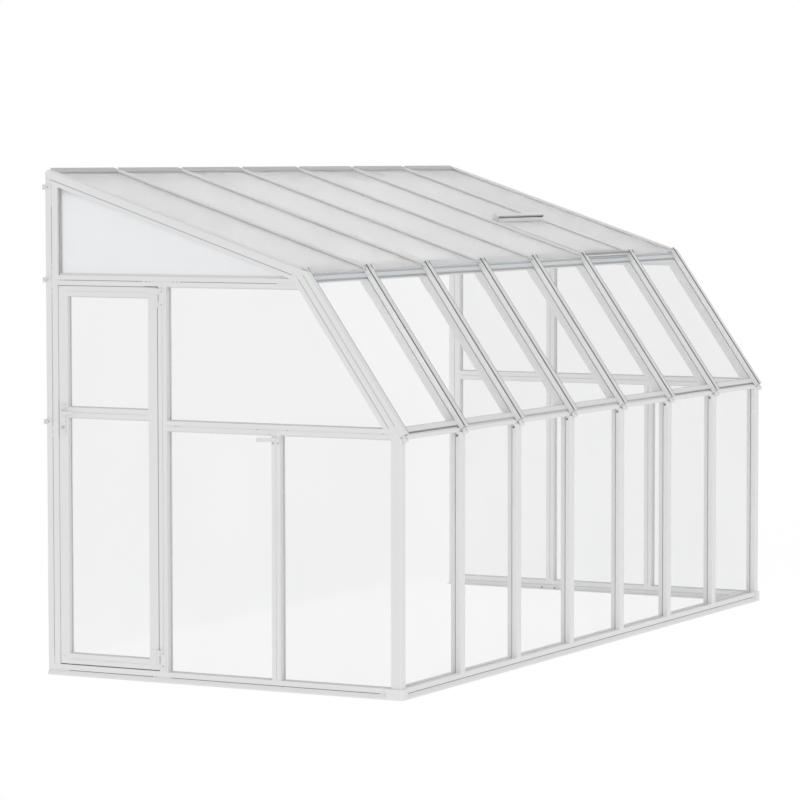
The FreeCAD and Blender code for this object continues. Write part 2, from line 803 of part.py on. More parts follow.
def door_rail_bar(height):
    half = door_rail / 2
    floor = half - groove_depth
    half_line = line_groove / 2
    outline = [(leaf_outer, -half), (leaf_outer, -half_line), (leaf_outer - line_depth, -half_line)]
    outline += [(leaf_outer - line_depth, half_line), (leaf_outer, half_line), (leaf_outer, half)]
    outline += [(leaf_middle + half_clear, half)]
    outline += [(leaf_middle + half_clear, floor), (leaf_middle - half_clear, floor)]
    outline += [(leaf_middle - half_clear, half), (leaf_inner, half), (leaf_inner, -half)]
    outline += [(leaf_middle - half_clear, -half), (leaf_middle - half_clear, -floor)]
    outline += [(leaf_middle + half_clear, -floor), (leaf_middle + half_clear, -half)]
    hollow = rectangle(leaf_inner + tube_wall, leaf_outer - line_depth - tube_wall,
                       tube_wall - floor, floor - tube_wall)
    start = leaf_hinge + stile_width
    return extrude(outline, [hollow], lambda a, w: Vec(door_x(a), start, height + w),
                   Vec(0, leaf_latch - stile_width - start, 0))


def door_panel(below, above):
    bite = groove_depth - edge_gap
    half = door_rail / 2
    return block(door_x(leaf_middle - half_clear), door_x(leaf_middle + half_clear),
                 leaf_hinge + stile_width - bite, leaf_latch - stile_width + bite,
                 below + half - bite, above - half + bite)


def door_sweep():
    return block(door_x(leaf_middle - half_clear), door_x(leaf_middle + half_clear),
                 leaf_hinge + stile_width, leaf_latch - stile_width,
                 sill_height + threshold_plate + sweep_gap, leaf_bottom + groove_depth - edge_gap)


def hinge_knuckle(z_from, z_to, plate_side):
    knuckle = rod(hinge_x, hinge_y, z_from, Vec(0, 0, 1), knuckle_radius, z_to - z_from)
    arm = block(door_x(leaf_outer + hinge_standoff - knuckle_radius + hinge_plate), hinge_x,
                hinge_y, hinge_y + plate_side * hinge_standoff, z_from, z_to)
    web = block(door_x(leaf_outer), door_x(leaf_outer + hinge_standoff),
                hinge_y + plate_side * hinge_standoff,
                hinge_y + plate_side * (hinge_standoff + hinge_plate), z_from, z_to)
    bore = rod(hinge_x, hinge_y, z_from, Vec(0, 0, 1), hinge_pin_radius + running_fit, z_to - z_from)
    return knuckle.fuse(arm).fuse(web).cut(bore)


def hinge_wing(centre, plate_side):
    return block(door_x(leaf_outer), door_x(leaf_outer + hinge_plate),
                 hinge_y + plate_side * hinge_standoff, hinge_y + plate_side * hinge_leaf,
                 centre - hinge_height / 2, centre + hinge_height / 2)


def hinge_leaf_pair(centre):
    third = hinge_height / 6
    half = hinge_height / 2
    low = hinge_knuckle(centre - half, centre - third - knuckle_gap / 2, -1)
    high = hinge_knuckle(centre + third + knuckle_gap / 2, centre + half, -1)
    middle = hinge_knuckle(centre - third + knuckle_gap / 2, centre + third - knuckle_gap / 2, 1)
    fixed = hinge_wing(centre, -1).fuse(low).fuse(high)
    moving = hinge_wing(centre, 1).fuse(middle)
    return one(fixed), one(moving)


def hinge_pin(centre):
    half = hinge_height / 2
    pin = rod(hinge_x, hinge_y, centre - half, Vec(0, 0, 1), hinge_pin_radius, hinge_height)
    head = rod(hinge_x, hinge_y, centre + half, Vec(0, 0, 1), knuckle_radius - 2 * running_fit, pin_head)
    return one(pin.fuse(head))


# Handle and lock

def handle_plate(face, out):
    middle = lever_height - handle_drop
    plate = block(door_x(face), door_x(face + out * plate_thickness), handle_y - plate_width / 2,
                  handle_y + plate_width / 2, middle - plate_height / 2, middle + plate_height / 2)
    along = [edge for edge in plate.Edges if abs(edge.tangentAt(edge.FirstParameter).x) > math.cos(pitch)]
    plate = plate.makeFillet(plate_width / 4, along)
    plate = plate.cut(lock_bore(lever_height, lever_neck + running_fit))
    return one(plate.cut(lock_bore(lever_height - cylinder_drop, cylinder_radius + running_fit)))


def lever(face, out):
    root = door_x(face)
    inner = door_x(face + out * (plate_thickness + lever_standoff))
    outer = door_x(face + out * (plate_thickness + lever_standoff + lever_thickness))
    neck = rod(min(root, inner), handle_y, lever_height, Vec(1, 0, 0), lever_neck, abs(inner - root))
    big = lever_blade / 2
    small = big * lever_taper
    tip = handle_y - lever_length
    outline = [(handle_y, lever_height + big), (handle_y + big, lever_height, "arc")]
    outline += [(handle_y, lever_height - big), (tip + small, lever_height - small)]
    outline += [(tip, lever_height, "arc"), (tip + small, lever_height + small)]
    blade = prism_x(outline, inner, outer)
    half = spindle_width / 2 + running_fit
    socket = block(root, door_x(face + out * spindle_socket), handle_y - half, handle_y + half,
                   lever_height - half, lever_height + half)
    return one(neck.fuse(blade).cut(socket))


def spindle():
    half = spindle_width / 2
    reach = spindle_socket - edge_gap
    return block(door_x(leaf_outer + reach), door_x(leaf_inner - reach), handle_y - half, handle_y + half,
                 lever_height - half, lever_height + half)


def lock_case():
    back = leaf_latch - stile_width + groove_depth + 2 * tube_wall
    front = leaf_latch - tube_wall
    half = case_thickness / 2
    middle = lever_height - bolt_drop
    case = block(door_x(leaf_middle - half), door_x(leaf_middle + half), back, front,
                 middle - case_height / 2, middle + case_height / 2)
    case = case.cut(lock_bore(lever_height, spindle_hole_radius))
    case = case.cut(lock_bore(lever_height - cylinder_drop, cylinder_radius + side_play))
    half_t = bolt_thickness / 2 + bolt_clearance
    half_h = bolt_height / 2 + bolt_clearance
    slot = block(door_x(leaf_middle - half_t), door_x(leaf_middle + half_t),
                 leaf_latch - bolt_setback - bolt_length - bolt_clearance, front,
                 bolt_level - half_h, bolt_level + half_h)
    return one(case.cut(slot))


def lock_bolt():
    half_t = bolt_thickness / 2
    front = leaf_latch - bolt_setback
    return block(door_x(leaf_middle - half_t), door_x(leaf_middle + half_t), front - bolt_length, front,
                 bolt_level - bolt_height / 2, bolt_level + bolt_height / 2)


def lock_cylinder():
    height = lever_height - cylinder_drop
    outer = door_x(leaf_outer + plate_thickness + cylinder_proud)
    inner = door_x(leaf_inner - plate_thickness - cylinder_proud)
    body = rod(outer, handle_y, height, Vec(1, 0, 0), cylinder_radius, inner - outer)
    bore = rod(outer, handle_y, height, Vec(1, 0, 0), plug_radius + running_fit, plug_length)
    return one(body.cut(bore))


def lock_plug():
    height = lever_height - cylinder_drop
    outer = door_x(leaf_outer + plate_thickness + cylinder_proud + plug_proud)
    plug = rod(outer, handle_y, height, Vec(1, 0, 0), plug_radius, plug_length)
    keyway = block(outer, outer + keyway_depth, handle_y - keyway_width / 2, handle_y + keyway_width / 2,
                   height - keyway_height / 2, height + keyway_height / 2)
    return one(plug.cut(keyway))


def strike_hole(y_to):
    half_t = bolt_thickness / 2 + edge_gap
    half_h = bolt_height / 2 + edge_gap
    return block(door_x(leaf_middle - half_t), door_x(leaf_middle + half_t), wall_post_y - strike_plate,
                 y_to, bolt_level - half_h, bolt_level + half_h)


def strike():
    plate = block(door_x(leaf_middle - bolt_thickness), door_x(leaf_middle + bolt_thickness),
                  wall_post_y - strike_plate, wall_post_y,
                  bolt_level - strike_height / 2, bolt_level + strike_height / 2)
    return one(plate.cut(strike_hole(wall_post_y)))


# Door catch and wall tabs

def door_catch():
    face = half_bar
    tip_a = face + catch_reach
    tip_y = mullion_y + half_bar + catch_side
    root_a = face + catch_plate / 2
    slope = math.atan2(tip_y - mullion_y, tip_a - root_a)
    off_a = catch_arm / 2 * math.sin(slope)
    off_y = catch_arm / 2 * math.cos(slope)
    low = catch_height - catch_depth / 2
    high = catch_height + catch_depth / 2
    arm = [(door_x(root_a + off_a), mullion_y - off_y), (door_x(tip_a + off_a), tip_y - off_y)]
    arm += [(door_x(tip_a - off_a), tip_y + off_y), (door_x(root_a - off_a), mullion_y + off_y)]
    plate = block(door_x(face), door_x(face + catch_plate), mullion_y - half_bar + line_depth,
                  mullion_y + half_bar - line_depth, low - catch_depth, high)
    tip = rod(door_x(tip_a), tip_y, low, Vec(0, 0, 1), catch_arm, catch_depth)
    behind = block(door_x(face - bar_width), door_x(face),
                   mullion_y - bar_width, mullion_y + bar_width, low, high)
    return one(plate.fuse(prism_z(arm, low, high)).fuse(tip).cut(behind))


def tab_heights():
    top = roof_height(wall_y, -bar_underside) - tab_below_rafter
    return [mid_rail_height, top_rail_height, top]


def wall_tab(end, height):
    low = height - tab_height / 2
    high = height + tab_height / 2
    face = end_x(end, half_bar)
    on_post = block(face, end_x(end, half_bar + tab_plate), wall_y - tab_leg, wall_y, low, high)
    on_wall = block(face, end_x(end, half_bar + tab_leg), wall_y - tab_plate, wall_y, low, high)
    hole_x = end_x(end, tab_hole_out)
    hole = rod(hole_x, wall_y - tab_plate, height, Vec(0, 1, 0), tab_hole_radius, tab_plate)
    return one(on_post.fuse(on_wall).cut(hole))


# Roof vent, laid out on the slope: X, then up the slope, then away from the room

def lug_places():
    return [vent_centre - lug_spread / 2, vent_centre + lug_spread / 2]


def axis_rod(x_from, x_to, radius):
    return rod(x_from, vent_top, vent_axis_rise, Vec(1, 0, 0), radius, x_to - x_from)


def vent_header():
    left = bar_places[vent_bay] + half_bar
    right = bar_places[vent_bay + 1] - half_bar
    low = vent_top - header_width / 4
    high = low + header_width
    bottom = -roof_sheet - header_depth
    body = block(left, right, low, high, bottom, -roof_sheet)
    body = body.cut(block(left, right, low + tube_wall, high - tube_wall, bottom, -roof_sheet - tube_wall))
    stand_from = vent_top + lug_radius + upstand_gap
    stand_to = stand_from + upstand
    body = body.fuse(block(left, right, stand_from, stand_to, -roof_sheet, upstand_rise))
    body = body.fuse(block(left, right, vent_top - hood_reach, stand_to,
                           upstand_rise - hood_plate, upstand_rise))
    top = vent_axis_rise + lug_radius
    outline = [(stand_to, 0), (stand_to, top), (vent_top, top)]
    outline += [(vent_top - lug_radius, vent_axis_rise, "arc"), (vent_top, vent_axis_rise - lug_radius)]
    outline += [(stand_from, vent_axis_rise - lug_radius), (stand_from, 0)]
    for x in lug_places():
        body = body.fuse(prism_x(outline, x - lug_width / 2, x + lug_width / 2))
        body = body.cut(axis_rod(x - lug_width / 2, x + lug_width / 2, vent_pin_radius + running_fit))
    return on_roof(one(body))


def vent_pins():
    half = lug_width / 2 + side_play + ear_width
    return [on_roof(axis_rod(x - half, x + half, vent_pin_radius)) for x in lug_places()]


def vent_sheet_space(gap):
    inset = vent_bar - vent_bite + gap
    return block(vent_left + inset, vent_right - inset, vent_low + inset, vent_high - inset,
                 vent_sheet_level, vent_sheet_level + roof_sheet)


def vent_ear(x):
    bottom = vent_axis_rise - lug_radius
    top = vent_axis_rise + lug_radius
    outline = [(vent_high, bottom), (vent_top, bottom)]
    outline += [(vent_top + lug_radius, vent_axis_rise, "arc"), (vent_top, top)]
    outline += [(vent_high, vent_rise)]
    ear = prism_x(outline, x, x + ear_width)
    return ear.cut(axis_rod(x, x + ear_width, vent_pin_radius + running_fit))


def stay_bracket():
    inner = stay_thickness / 2 + stay_play
    outer = inner + tongue_plate
    half = stay_width / 2
    tongue = block(vent_centre - outer, vent_centre + outer, vent_low + vent_bar, stay_pivot + half,
                   vent_foot, vent_foot + tongue_plate)
    tongue = tongue.cut(block(vent_centre - inner, vent_centre + inner, stay_pivot - stay_width,
                              stay_pivot + half, vent_foot, vent_foot + tongue_plate))
    outline = [(stay_pivot - half, vent_foot), (stay_pivot - half, stay_level)]
    outline += [(stay_pivot, stay_level - half, "arc"), (stay_pivot + half, stay_level)]
    outline += [(stay_pivot + half, vent_foot)]
    for side in (-1, 1):
        cheek = prism_x(outline, vent_centre + side * inner, vent_centre + side * outer)
        tongue = tongue.fuse(cheek)
    pin = rod(vent_centre - outer, stay_pivot, stay_level, Vec(1, 0, 0), stay_pin_radius, 2 * outer)
    return tongue.fuse(pin)


def vent_frame():
    sheet = vent_sheet_space(0)
    left = block(vent_left, vent_left + vent_bar, vent_low, vent_high, vent_foot, vent_rise)
    right = block(vent_right - vent_bar, vent_right, vent_low, vent_high, vent_foot, vent_rise)
    bottom = block(vent_left + vent_bar, vent_right - vent_bar, vent_low, vent_low + vent_bar,
                   vent_foot, vent_rise)
    top = block(vent_left + vent_bar, vent_right - vent_bar, vent_high - vent_bar, vent_high,
                vent_foot, vent_rise)
    for x in lug_places():
        reach = lug_width / 2 + side_play
        top = top.fuse(vent_ear(x + reach)).fuse(vent_ear(x - reach - ear_width))
    bottom = bottom.fuse(stay_bracket())
    return [on_roof(one(bar.cut(sheet))) for bar in (left, right, bottom, top)]


def vent_stay():
    half = stay_width / 2
    end = stay_pivot + stay_length
    outline = [(stay_pivot, stay_level + half), (stay_pivot - half, stay_level, "arc")]
    outline += [(stay_pivot, stay_level - half), (end, stay_level - half)]
    outline += [(end + half, stay_level, "arc"), (end, stay_level + half)]
    left = vent_centre - stay_thickness / 2
    bar = prism_x(outline, left, left + stay_thickness)
    holes = [(stay_pivot, stay_pin_radius + running_fit)]
    holes += [(end - stay_hole_pitch * index, stay_hole_radius) for index in range(stay_hole_count)]
    for s, radius in holes:
        bar = bar.cut(rod(left, s, stay_level, Vec(1, 0, 0), radius, stay_thickness))
    return on_roof(one(bar))


# Screws: each seat is a point on the face under the head and the way that the screw goes in

def screw(seat):
    point, into = seat
    shank = Part.makeCylinder(screw_shank_radius, screw_shank_length, point, into)
    head = Part.makeCylinder(screw_head_radius, screw_head_height, point, into * -1)
    return one(shank.fuse(head))


def screw_hole(seat):
    point, into = seat
    return Part.makeCylinder(screw_shank_radius + running_fit, screw_shank_length + edge_gap, point, into)


def nose_seats():
    s = nose_s + nose_cap_length / 2
    into = Vec(0, math.sin(knee), -math.cos(knee))
    return [(Vec(x, *knee_at(s, nose_cap_rise)), into) for x in bar_places]


def bracket_seats():
    roof_v = -bar_underside - bracket_plate
    knee_v = -knee_underside - bracket_plate
    up_roof = Vec(0, -math.sin(pitch), math.cos(pitch))
    up_knee = Vec(0, -math.sin(knee), math.cos(knee))
    seats = []
    for x in bar_places[1:-1]:
        for share in (0.5, 0.85):
            seats.append((Vec(x, *roof_at(bracket_arm * share, roof_v)), up_roof))
            seats.append((Vec(x, *knee_at(bracket_arm * share, knee_v)), up_knee))
    return seats


def tab_seats():
    seats = []
    for end in (-1, 1):
        x = end_x(end, half_bar + tab_plate)
        for height in tab_heights():
            seats.append((Vec(x, wall_y - tab_leg / 2, height), Vec(-end, 0, 0)))
    return seats


def hinge_seats():
    x = door_x(leaf_outer + hinge_plate)
    y = hinge_y - (hinge_leaf + hinge_standoff) / 2 - hinge_plate / 2
    return [(Vec(x, y, centre + side * hinge_height / 3), Vec(1, 0, 0))
            for centre in hinge_centres for side in (-1, 1)]


def catch_seats():
    x = door_x(half_bar + catch_plate)
    z = catch_height - catch_depth
    return [(Vec(x, mullion_y + side * half_bar / 2, z), Vec(1, 0, 0)) for side in (-1, 1)]


def drill(nodes, names, seats):
    for name in names:
        drilled = []
        for solid in nodes[name]:
            for hole in map(screw_hole, seats):
                if solid.BoundBox.intersect(hole.BoundBox):
                    solid = solid.cut(hole)
            drilled.append(solid.Solids[0])
        nodes[name] = drilled


# Values of the door and the vent that follow from the dimensions above
leaf_outer = half_bar
leaf_inner = leaf_outer - leaf_thickness
leaf_middle = (leaf_outer + leaf_inner) / 2
leaf_hinge = jamb_y + half_bar + door_gap
leaf_latch = wall_post_y - door_gap
leaf_bottom = sill_height + door_lift
leaf_top = top_rail_bottom - door_gap
hinge_x = door_x(leaf_outer + hinge_standoff)
hinge_y = leaf_hinge - door_gap / 2
hinge_centres = [leaf_bottom + hinge_inset + hinge_height / 2, leaf_top - hinge_inset - hinge_height / 2]
handle_y = leaf_latch - stile_width / 2
bolt_level = lever_height - bolt_drop
spindle_hole_radius = spindle_width / math.sqrt(2) + edge_gap
tab_hole_out = half_bar + (tab_plate + tab_leg) / 2
vent_left = bar_places[vent_bay] + half_bar + vent_side_gap
vent_right = bar_places[vent_bay + 1] - half_bar - vent_side_gap
vent_centre = (vent_left + vent_right) / 2
vent_low = -roof_overhang
vent_high = vent_top - vent_top_gap


def build_nodes():
    bays = range(bay_count)
    inner_bars = bar_places[1:-1]
    roof_bar = bar_section(roof_sheet, bar_underside, roof_rise, True)
    knee_section = bar_section(clear_sheet, knee_underside, knee_rise, True)
    roof_end = end_section(roof_sheet, bar_underside, roof_rise, rafter_lip, 0)
    knee_end = end_section(clear_sheet, end_knee_underside, knee_rise, knee_lip, knee_step)
    ridge_face = wall_y - ridge_depth
    hinges = [hinge_leaf_pair(centre) for centre in hinge_centres]
    purlins = [eave_purlin(bay) for bay in bays]
    purlins[vent_bay] = one(purlins[vent_bay].fuse(stay_peg()))
    bolt_pocket = strike_hole(wall_post_y + bolt_throw)
    door_bottom = leaf_bottom + door_rail / 2
    door_top = leaf_top - door_rail / 2

    nodes = {}
    nodes["front_sill"] = [front_sill()]
    nodes["end_sill_door_end"] = [end_sill(-1)]
    nodes["end_sill_far_end"] = [end_sill(1)]
    nodes["base_corners"] = [base_corner(end) for end in (-1, 1)]
    nodes["threshold"] = [threshold()]
    nodes["wall_post_door_end"] = [one(wall_post(-1, top_rail_top - groove_depth).cut(bolt_pocket))]
    nodes["wall_post_far_end"] = [wall_post(1, sill_height)]
    nodes["corner_post_door_end"] = [corner_post(-1)]
    nodes["corner_post_far_end"] = [corner_post(1)]
    nodes["front_posts"] = [front_post(x) for x in inner_bars]
    nodes["door_jamb"] = [upright(-1, jamb_y, True, False, top_rail_bottom)]
    nodes["mullion_far_end"] = [upright(1, jamb_y, True, True, top_rail_bottom)]
    nodes["lower_mullions"] = [upright(end, mullion_y, True, True, mid_rail_bottom) for end in (-1, 1)]
    nodes["front_rail"] = [front_rail()]
    nodes["mid_rail_door_end"] = [end_rail(-1, mid_rail_height, corner_post_y, jamb_y - half_bar)]
    nodes["mid_rails_far_end"] = [end_rail(1, mid_rail_height, corner_post_y, jamb_y - half_bar),
                                  end_rail(1, mid_rail_height, jamb_y + half_bar, wall_post_y)]
    nodes["top_rail_door_end"] = [top_rail(-1)]
    nodes["top_rail_far_end"] = [top_rail(1)]
    nodes["eave_purlins"] = purlins
    nodes["ridge_beam"] = [ridge_beam()]
    nodes["rafter_door_end"] = [rafter(roof_end, -half_run, -1, wall_y, end_knee_underside)]
    nodes["rafter_far_end"] = [rafter(roof_end, half_run, 1, wall_y, end_knee_underside)]
    nodes["rafters"] = [rafter(roof_bar, x, 1, ridge_face, knee_underside) for x in inner_bars]
    nodes["knee_bar_door_end"] = [knee_bar(knee_end, -half_run, -1, end_knee_underside)]
    nodes["knee_bar_far_end"] = [knee_bar(knee_end, half_run, 1, end_knee_underside)]
    nodes["knee_bars"] = [knee_bar(knee_section, x, 1, knee_underside) for x in inner_bars]
    nodes["nose_caps"] = [nose_cap(x) for x in bar_places]
    nodes["eave_brackets"] = [eave_bracket(x) for x in inner_bars]
    nodes["roof_panels"] = [roof_panel(bay) for bay in bays]
    nodes["knee_panels"] = [knee_panel(bay) for bay in bays]
    nodes["front_panels"] = [front_panel(bay) for bay in bays]
    nodes["gable_panels"] = [gable_panel(end) for end in (-1, 1)]
    nodes["end_panels_door_end"] = [upper_panel(-1)] + lower_panels(-1)
    nodes["end_panels_far_end"] = [upper_panel(1)] + lower_panels(1) + wall_bay_panels(1)
    nodes["ridge_seals"] = [ridge_seal(bay) for bay in bays]
    nodes["door_seals"] = door_seals()
    nodes["vent_seal"] = [vent_seal()]
    nodes["frame_hinge_leaves"] = [pair[0] for pair in hinges]
    nodes["hinge_pins"] = [hinge_pin(centre) for centre in hinge_centres] + vent_pins()
    nodes["strike_plate"] = [strike()]
    nodes["door_catch"] = [door_catch()]
    nodes["wall_tabs"] = [wall_tab(end, height) for end in (-1, 1) for height in tab_heights()]
    nodes["vent_header"] = [vent_header()]

    nodes["hinge_stile"] = [one(stile(leaf_hinge, 1))]
    nodes["latch_stile"] = [latch_stile()]
    nodes["door_rails"] = [door_rail_bar(height) for height in (door_bottom, door_mid_height, door_top)]
    nodes["door_panels"] = [door_panel(door_bottom, door_mid_height), door_panel(door_mid_height, door_top)]
    nodes["door_sweep"] = [door_sweep()]
    nodes["door_hinge_leaves"] = [pair[1] for pair in hinges]
    nodes["handle_plates"] = [handle_plate(leaf_outer, 1), handle_plate(leaf_inner, -1)]
    nodes["lock_case"] = [lock_case()]
    nodes["lock_cylinder"] = [lock_cylinder()]
    nodes["handle_levers"] = [lever(leaf_outer, 1), lever(leaf_inner, -1)]
    nodes["spindle"] = [spindle()]
    nodes["lock_bolt"] = [lock_bolt()]
    nodes["lock_plug"] = [lock_plug()]

    nodes["vent_frame"] = vent_frame()
    nodes["vent_sheet"] = [on_roof(vent_sheet_space(edge_gap))]
    nodes["vent_stay"] = [vent_stay()]

    drill(nodes, ["nose_caps"], nose_seats())
    drill(nodes, ["eave_brackets", "rafters", "knee_bars"], bracket_seats())
    drill(nodes, ["wall_tabs", "wall_post_door_end", "wall_post_far_end"], tab_seats())
    drill(nodes, ["frame_hinge_leaves", "door_jamb"], hinge_seats())
    drill(nodes, ["door_catch", "lower_mullions"], catch_seats())
    seats = nose_seats() + bracket_seats() + tab_seats() + hinge_seats() + catch_seats()
    nodes["frame_screws"] = [screw(seat) for seat in seats]
    return nodes


def main():
    os.makedirs("parts", exist_ok=True)
    for name, solids in build_nodes().items():
        shape = solids[0] if len(solids) == 1 else Part.makeCompound(solids)
        shape.exportStep("parts/" + name + ".step")
        volume = sum(solid.Volume for solid in solids)
        print(name, len(solids), round(volume / 1000), "cm3", shape.isValid())


main()
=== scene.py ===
import bpy
import json
import math
import numpy as np
from mathutils import Matrix, Vector


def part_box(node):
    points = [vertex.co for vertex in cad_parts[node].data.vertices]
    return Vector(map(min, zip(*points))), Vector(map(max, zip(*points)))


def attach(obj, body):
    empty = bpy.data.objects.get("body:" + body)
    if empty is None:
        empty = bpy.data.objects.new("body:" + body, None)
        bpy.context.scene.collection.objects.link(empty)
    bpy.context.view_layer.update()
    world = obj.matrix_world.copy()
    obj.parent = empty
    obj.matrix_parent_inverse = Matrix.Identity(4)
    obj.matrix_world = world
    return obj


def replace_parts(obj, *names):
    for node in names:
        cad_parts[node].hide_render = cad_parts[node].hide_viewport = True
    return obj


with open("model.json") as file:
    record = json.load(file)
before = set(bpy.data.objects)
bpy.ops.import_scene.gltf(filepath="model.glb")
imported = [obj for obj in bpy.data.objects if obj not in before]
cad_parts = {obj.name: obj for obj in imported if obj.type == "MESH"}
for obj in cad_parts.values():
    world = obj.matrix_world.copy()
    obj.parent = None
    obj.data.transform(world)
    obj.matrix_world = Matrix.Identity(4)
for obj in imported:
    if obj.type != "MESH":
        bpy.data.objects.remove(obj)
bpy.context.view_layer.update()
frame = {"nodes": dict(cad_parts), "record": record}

nodes = frame["nodes"]
scene = bpy.context.scene
print("frame loaded:", len(nodes), "nodes")


# Finishes

coatSettings = {
    "drift": 3.0, "peel": 420.0, "peelDetail": 2.0, "glossBelow": 0.05, "glossAbove": 0.06,
    "bump": 0.06, "depth": 0.0004,
}
fluteSettings = {
    "pitch": 0.011, "roughness": 0.5, "bending": 1.25, "glow": 0.85, "haze": 1.4, "hazeGloss": (0.45, 0.6),
    "bump": 0.12, "depth": 0.0006,
}
clearSettings = {
    "tint": (0.40, 0.41, 0.42), "roughness": 0.06, "smudge": 2.2, "detail": 4.0, "stretch": (1, 1, 0.4),
    "smudgeGloss": (0.03, 0.12), "coverDrift": 0.02,
}
grainSettings = {"roughness": 0.7, "scale": 260.0, "detail": 4.0, "bump": 0.25, "depth": 0.0006}
plateSettings = {
    "scale": 60.0, "detail": 3.0, "stretch": (1, 1, 14), "glossBelow": 0.06, "glossAbove": 0.1,
}


def newFinish(name, color, roughness, **sockets):
    # one Principled shader; constant values go straight onto its sockets
    finish = bpy.data.materials.new(name)
    finish.use_nodes = True
    tree = finish.node_tree
    shader = tree.nodes["Principled BSDF"]
    shader.inputs["Base Color"].default_value = (*color, 1)
    shader.inputs["Roughness"].default_value = roughness
    for socket, value in sockets.items():
        shader.inputs[socket.replace("_", " ")].default_value = value
    coords = tree.nodes.new("ShaderNodeTexCoord")
    return finish, tree, shader, coords.outputs["Object"]


def noiseField(tree, coords, scale, detail=3.0, stretch=(1, 1, 1)):
    # fractal noise over the object's own metres, stretched along the axes
    mapping = tree.nodes.new("ShaderNodeMapping")
    mapping.inputs["Scale"].default_value = stretch
    noise = tree.nodes.new("ShaderNodeTexNoise")
    noise.inputs["Scale"].default_value = scale
    noise.inputs["Detail"].default_value = detail
    tree.links.new(coords, mapping.inputs["Vector"])
    tree.links.new(mapping.outputs["Vector"], noise.inputs["Vector"])
    return noise.outputs["Fac"]


def fluteField(tree, coords, axis, pitch):
    # sine bands along one axis, one for each flute; at scale 1 a band is pi / 10 wide
    wave = tree.nodes.new("ShaderNodeTexWave")
    wave.wave_type = "BANDS"
    wave.bands_direction = axis
    wave.inputs["Scale"].default_value = math.pi / 10 / pitch
    tree.links.new(coords, wave.inputs["Vector"])
    return wave.outputs["Fac"]


def spread(tree, field, low, high):
    # carries a 0..1 field onto the range low..high
    ramp = tree.nodes.new("ShaderNodeMapRange")
    ramp.inputs["To Min"].default_value = low
    ramp.inputs["To Max"].default_value = high
    tree.links.new(field, ramp.inputs["Value"])
    return ramp.outputs["Result"]


def tintBetween(tree, field, low, high):
    # mixes two colours by a 0..1 field; sockets 6, 7 and 2 are the mix node's colours
    mix = tree.nodes.new("ShaderNodeMix")
    mix.data_type = "RGBA"
    mix.inputs[6].default_value = (*low, 1)
    mix.inputs[7].default_value = (*high, 1)
    tree.links.new(field, mix.inputs[0])
    return mix.outputs[2]


def bumpFrom(tree, shader, field, strength, distance):
    # tilts the normal by the slope of the field
    bump = tree.nodes.new("ShaderNodeBump")
    bump.inputs["Strength"].default_value = strength
    bump.inputs["Distance"].default_value = distance
    tree.links.new(field, bump.inputs["Height"])
    tree.links.new(bump.outputs["Normal"], shader.inputs["Normal"])


def grey(value):
    # the same share of red, green and blue
    return (value, value, value)


def coatedMetal(name, low, high, roughness):
    # powder coat: slow drift of shade, fine orange peel in gloss and bump
    s = coatSettings
    finish, tree, shader, coords = newFinish(name, high, roughness)
    drift = noiseField(tree, coords, s["drift"])
    peel = noiseField(tree, coords, s["peel"], s["peelDetail"])
    gloss = spread(tree, peel, roughness - s["glossBelow"], roughness + s["glossAbove"])
    tree.links.new(tintBetween(tree, drift, low, high), shader.inputs["Base Color"])
    tree.links.new(gloss, shader.inputs["Roughness"])
    bumpFrom(tree, shader, peel, s["bump"], s["depth"])
    return finish


def flutedSheet(name, low, high, axis):
    # twin-wall sheet: flutes as fine bands, light scattered through it
    s = fluteSettings
    finish, tree, shader, coords = newFinish(name, high, s["roughness"], IOR=s["bending"],
                                             Transmission_Weight=s["glow"])
    flutes = fluteField(tree, coords, axis, s["pitch"])
    haze = noiseField(tree, coords, s["haze"])
    tree.links.new(tintBetween(tree, flutes, low, high), shader.inputs["Base Color"])
    tree.links.new(spread(tree, haze, *s["hazeGloss"]), shader.inputs["Roughness"])
    bumpFrom(tree, shader, flutes, s["bump"], s["depth"])
    return finish


def clearSheet(name, cover):
    # clear sheet: a thin tint, faint smudges in its gloss and cover
    s = clearSettings
    finish, tree, shader, coords = newFinish(name, s["tint"], s["roughness"], Alpha=cover)
    smudge = noiseField(tree, coords, s["smudge"], s["detail"], s["stretch"])
    veil = spread(tree, smudge, cover - s["coverDrift"], cover + s["coverDrift"])
    tree.links.new(spread(tree, smudge, *s["smudgeGloss"]), shader.inputs["Roughness"])
    tree.links.new(veil, shader.inputs["Alpha"])
    return finish


def rubberStrip(name, low, high):
    # rubber and foam: fine grain in shade and bump
    s = grainSettings
    finish, tree, shader, coords = newFinish(name, high, s["roughness"])
    grain = noiseField(tree, coords, s["scale"], s["detail"])
    tree.links.new(tintBetween(tree, grain, low, high), shader.inputs["Base Color"])
    bumpFrom(tree, shader, grain, s["bump"], s["depth"])
    return finish


def platedMetal(name, low, high, roughness):
    # plated metal: drawn grain in shade and gloss
    s = plateSettings
    finish, tree, shader, coords = newFinish(name, high, roughness, Metallic=1.0)
    grain = noiseField(tree, coords, s["scale"], s["detail"], s["stretch"])
    gloss = spread(tree, grain, roughness - s["glossBelow"], roughness + s["glossAbove"])
    tree.links.new(tintBetween(tree, grain, low, high), shader.inputs["Base Color"])
    tree.links.new(gloss, shader.inputs["Roughness"])
    return finish


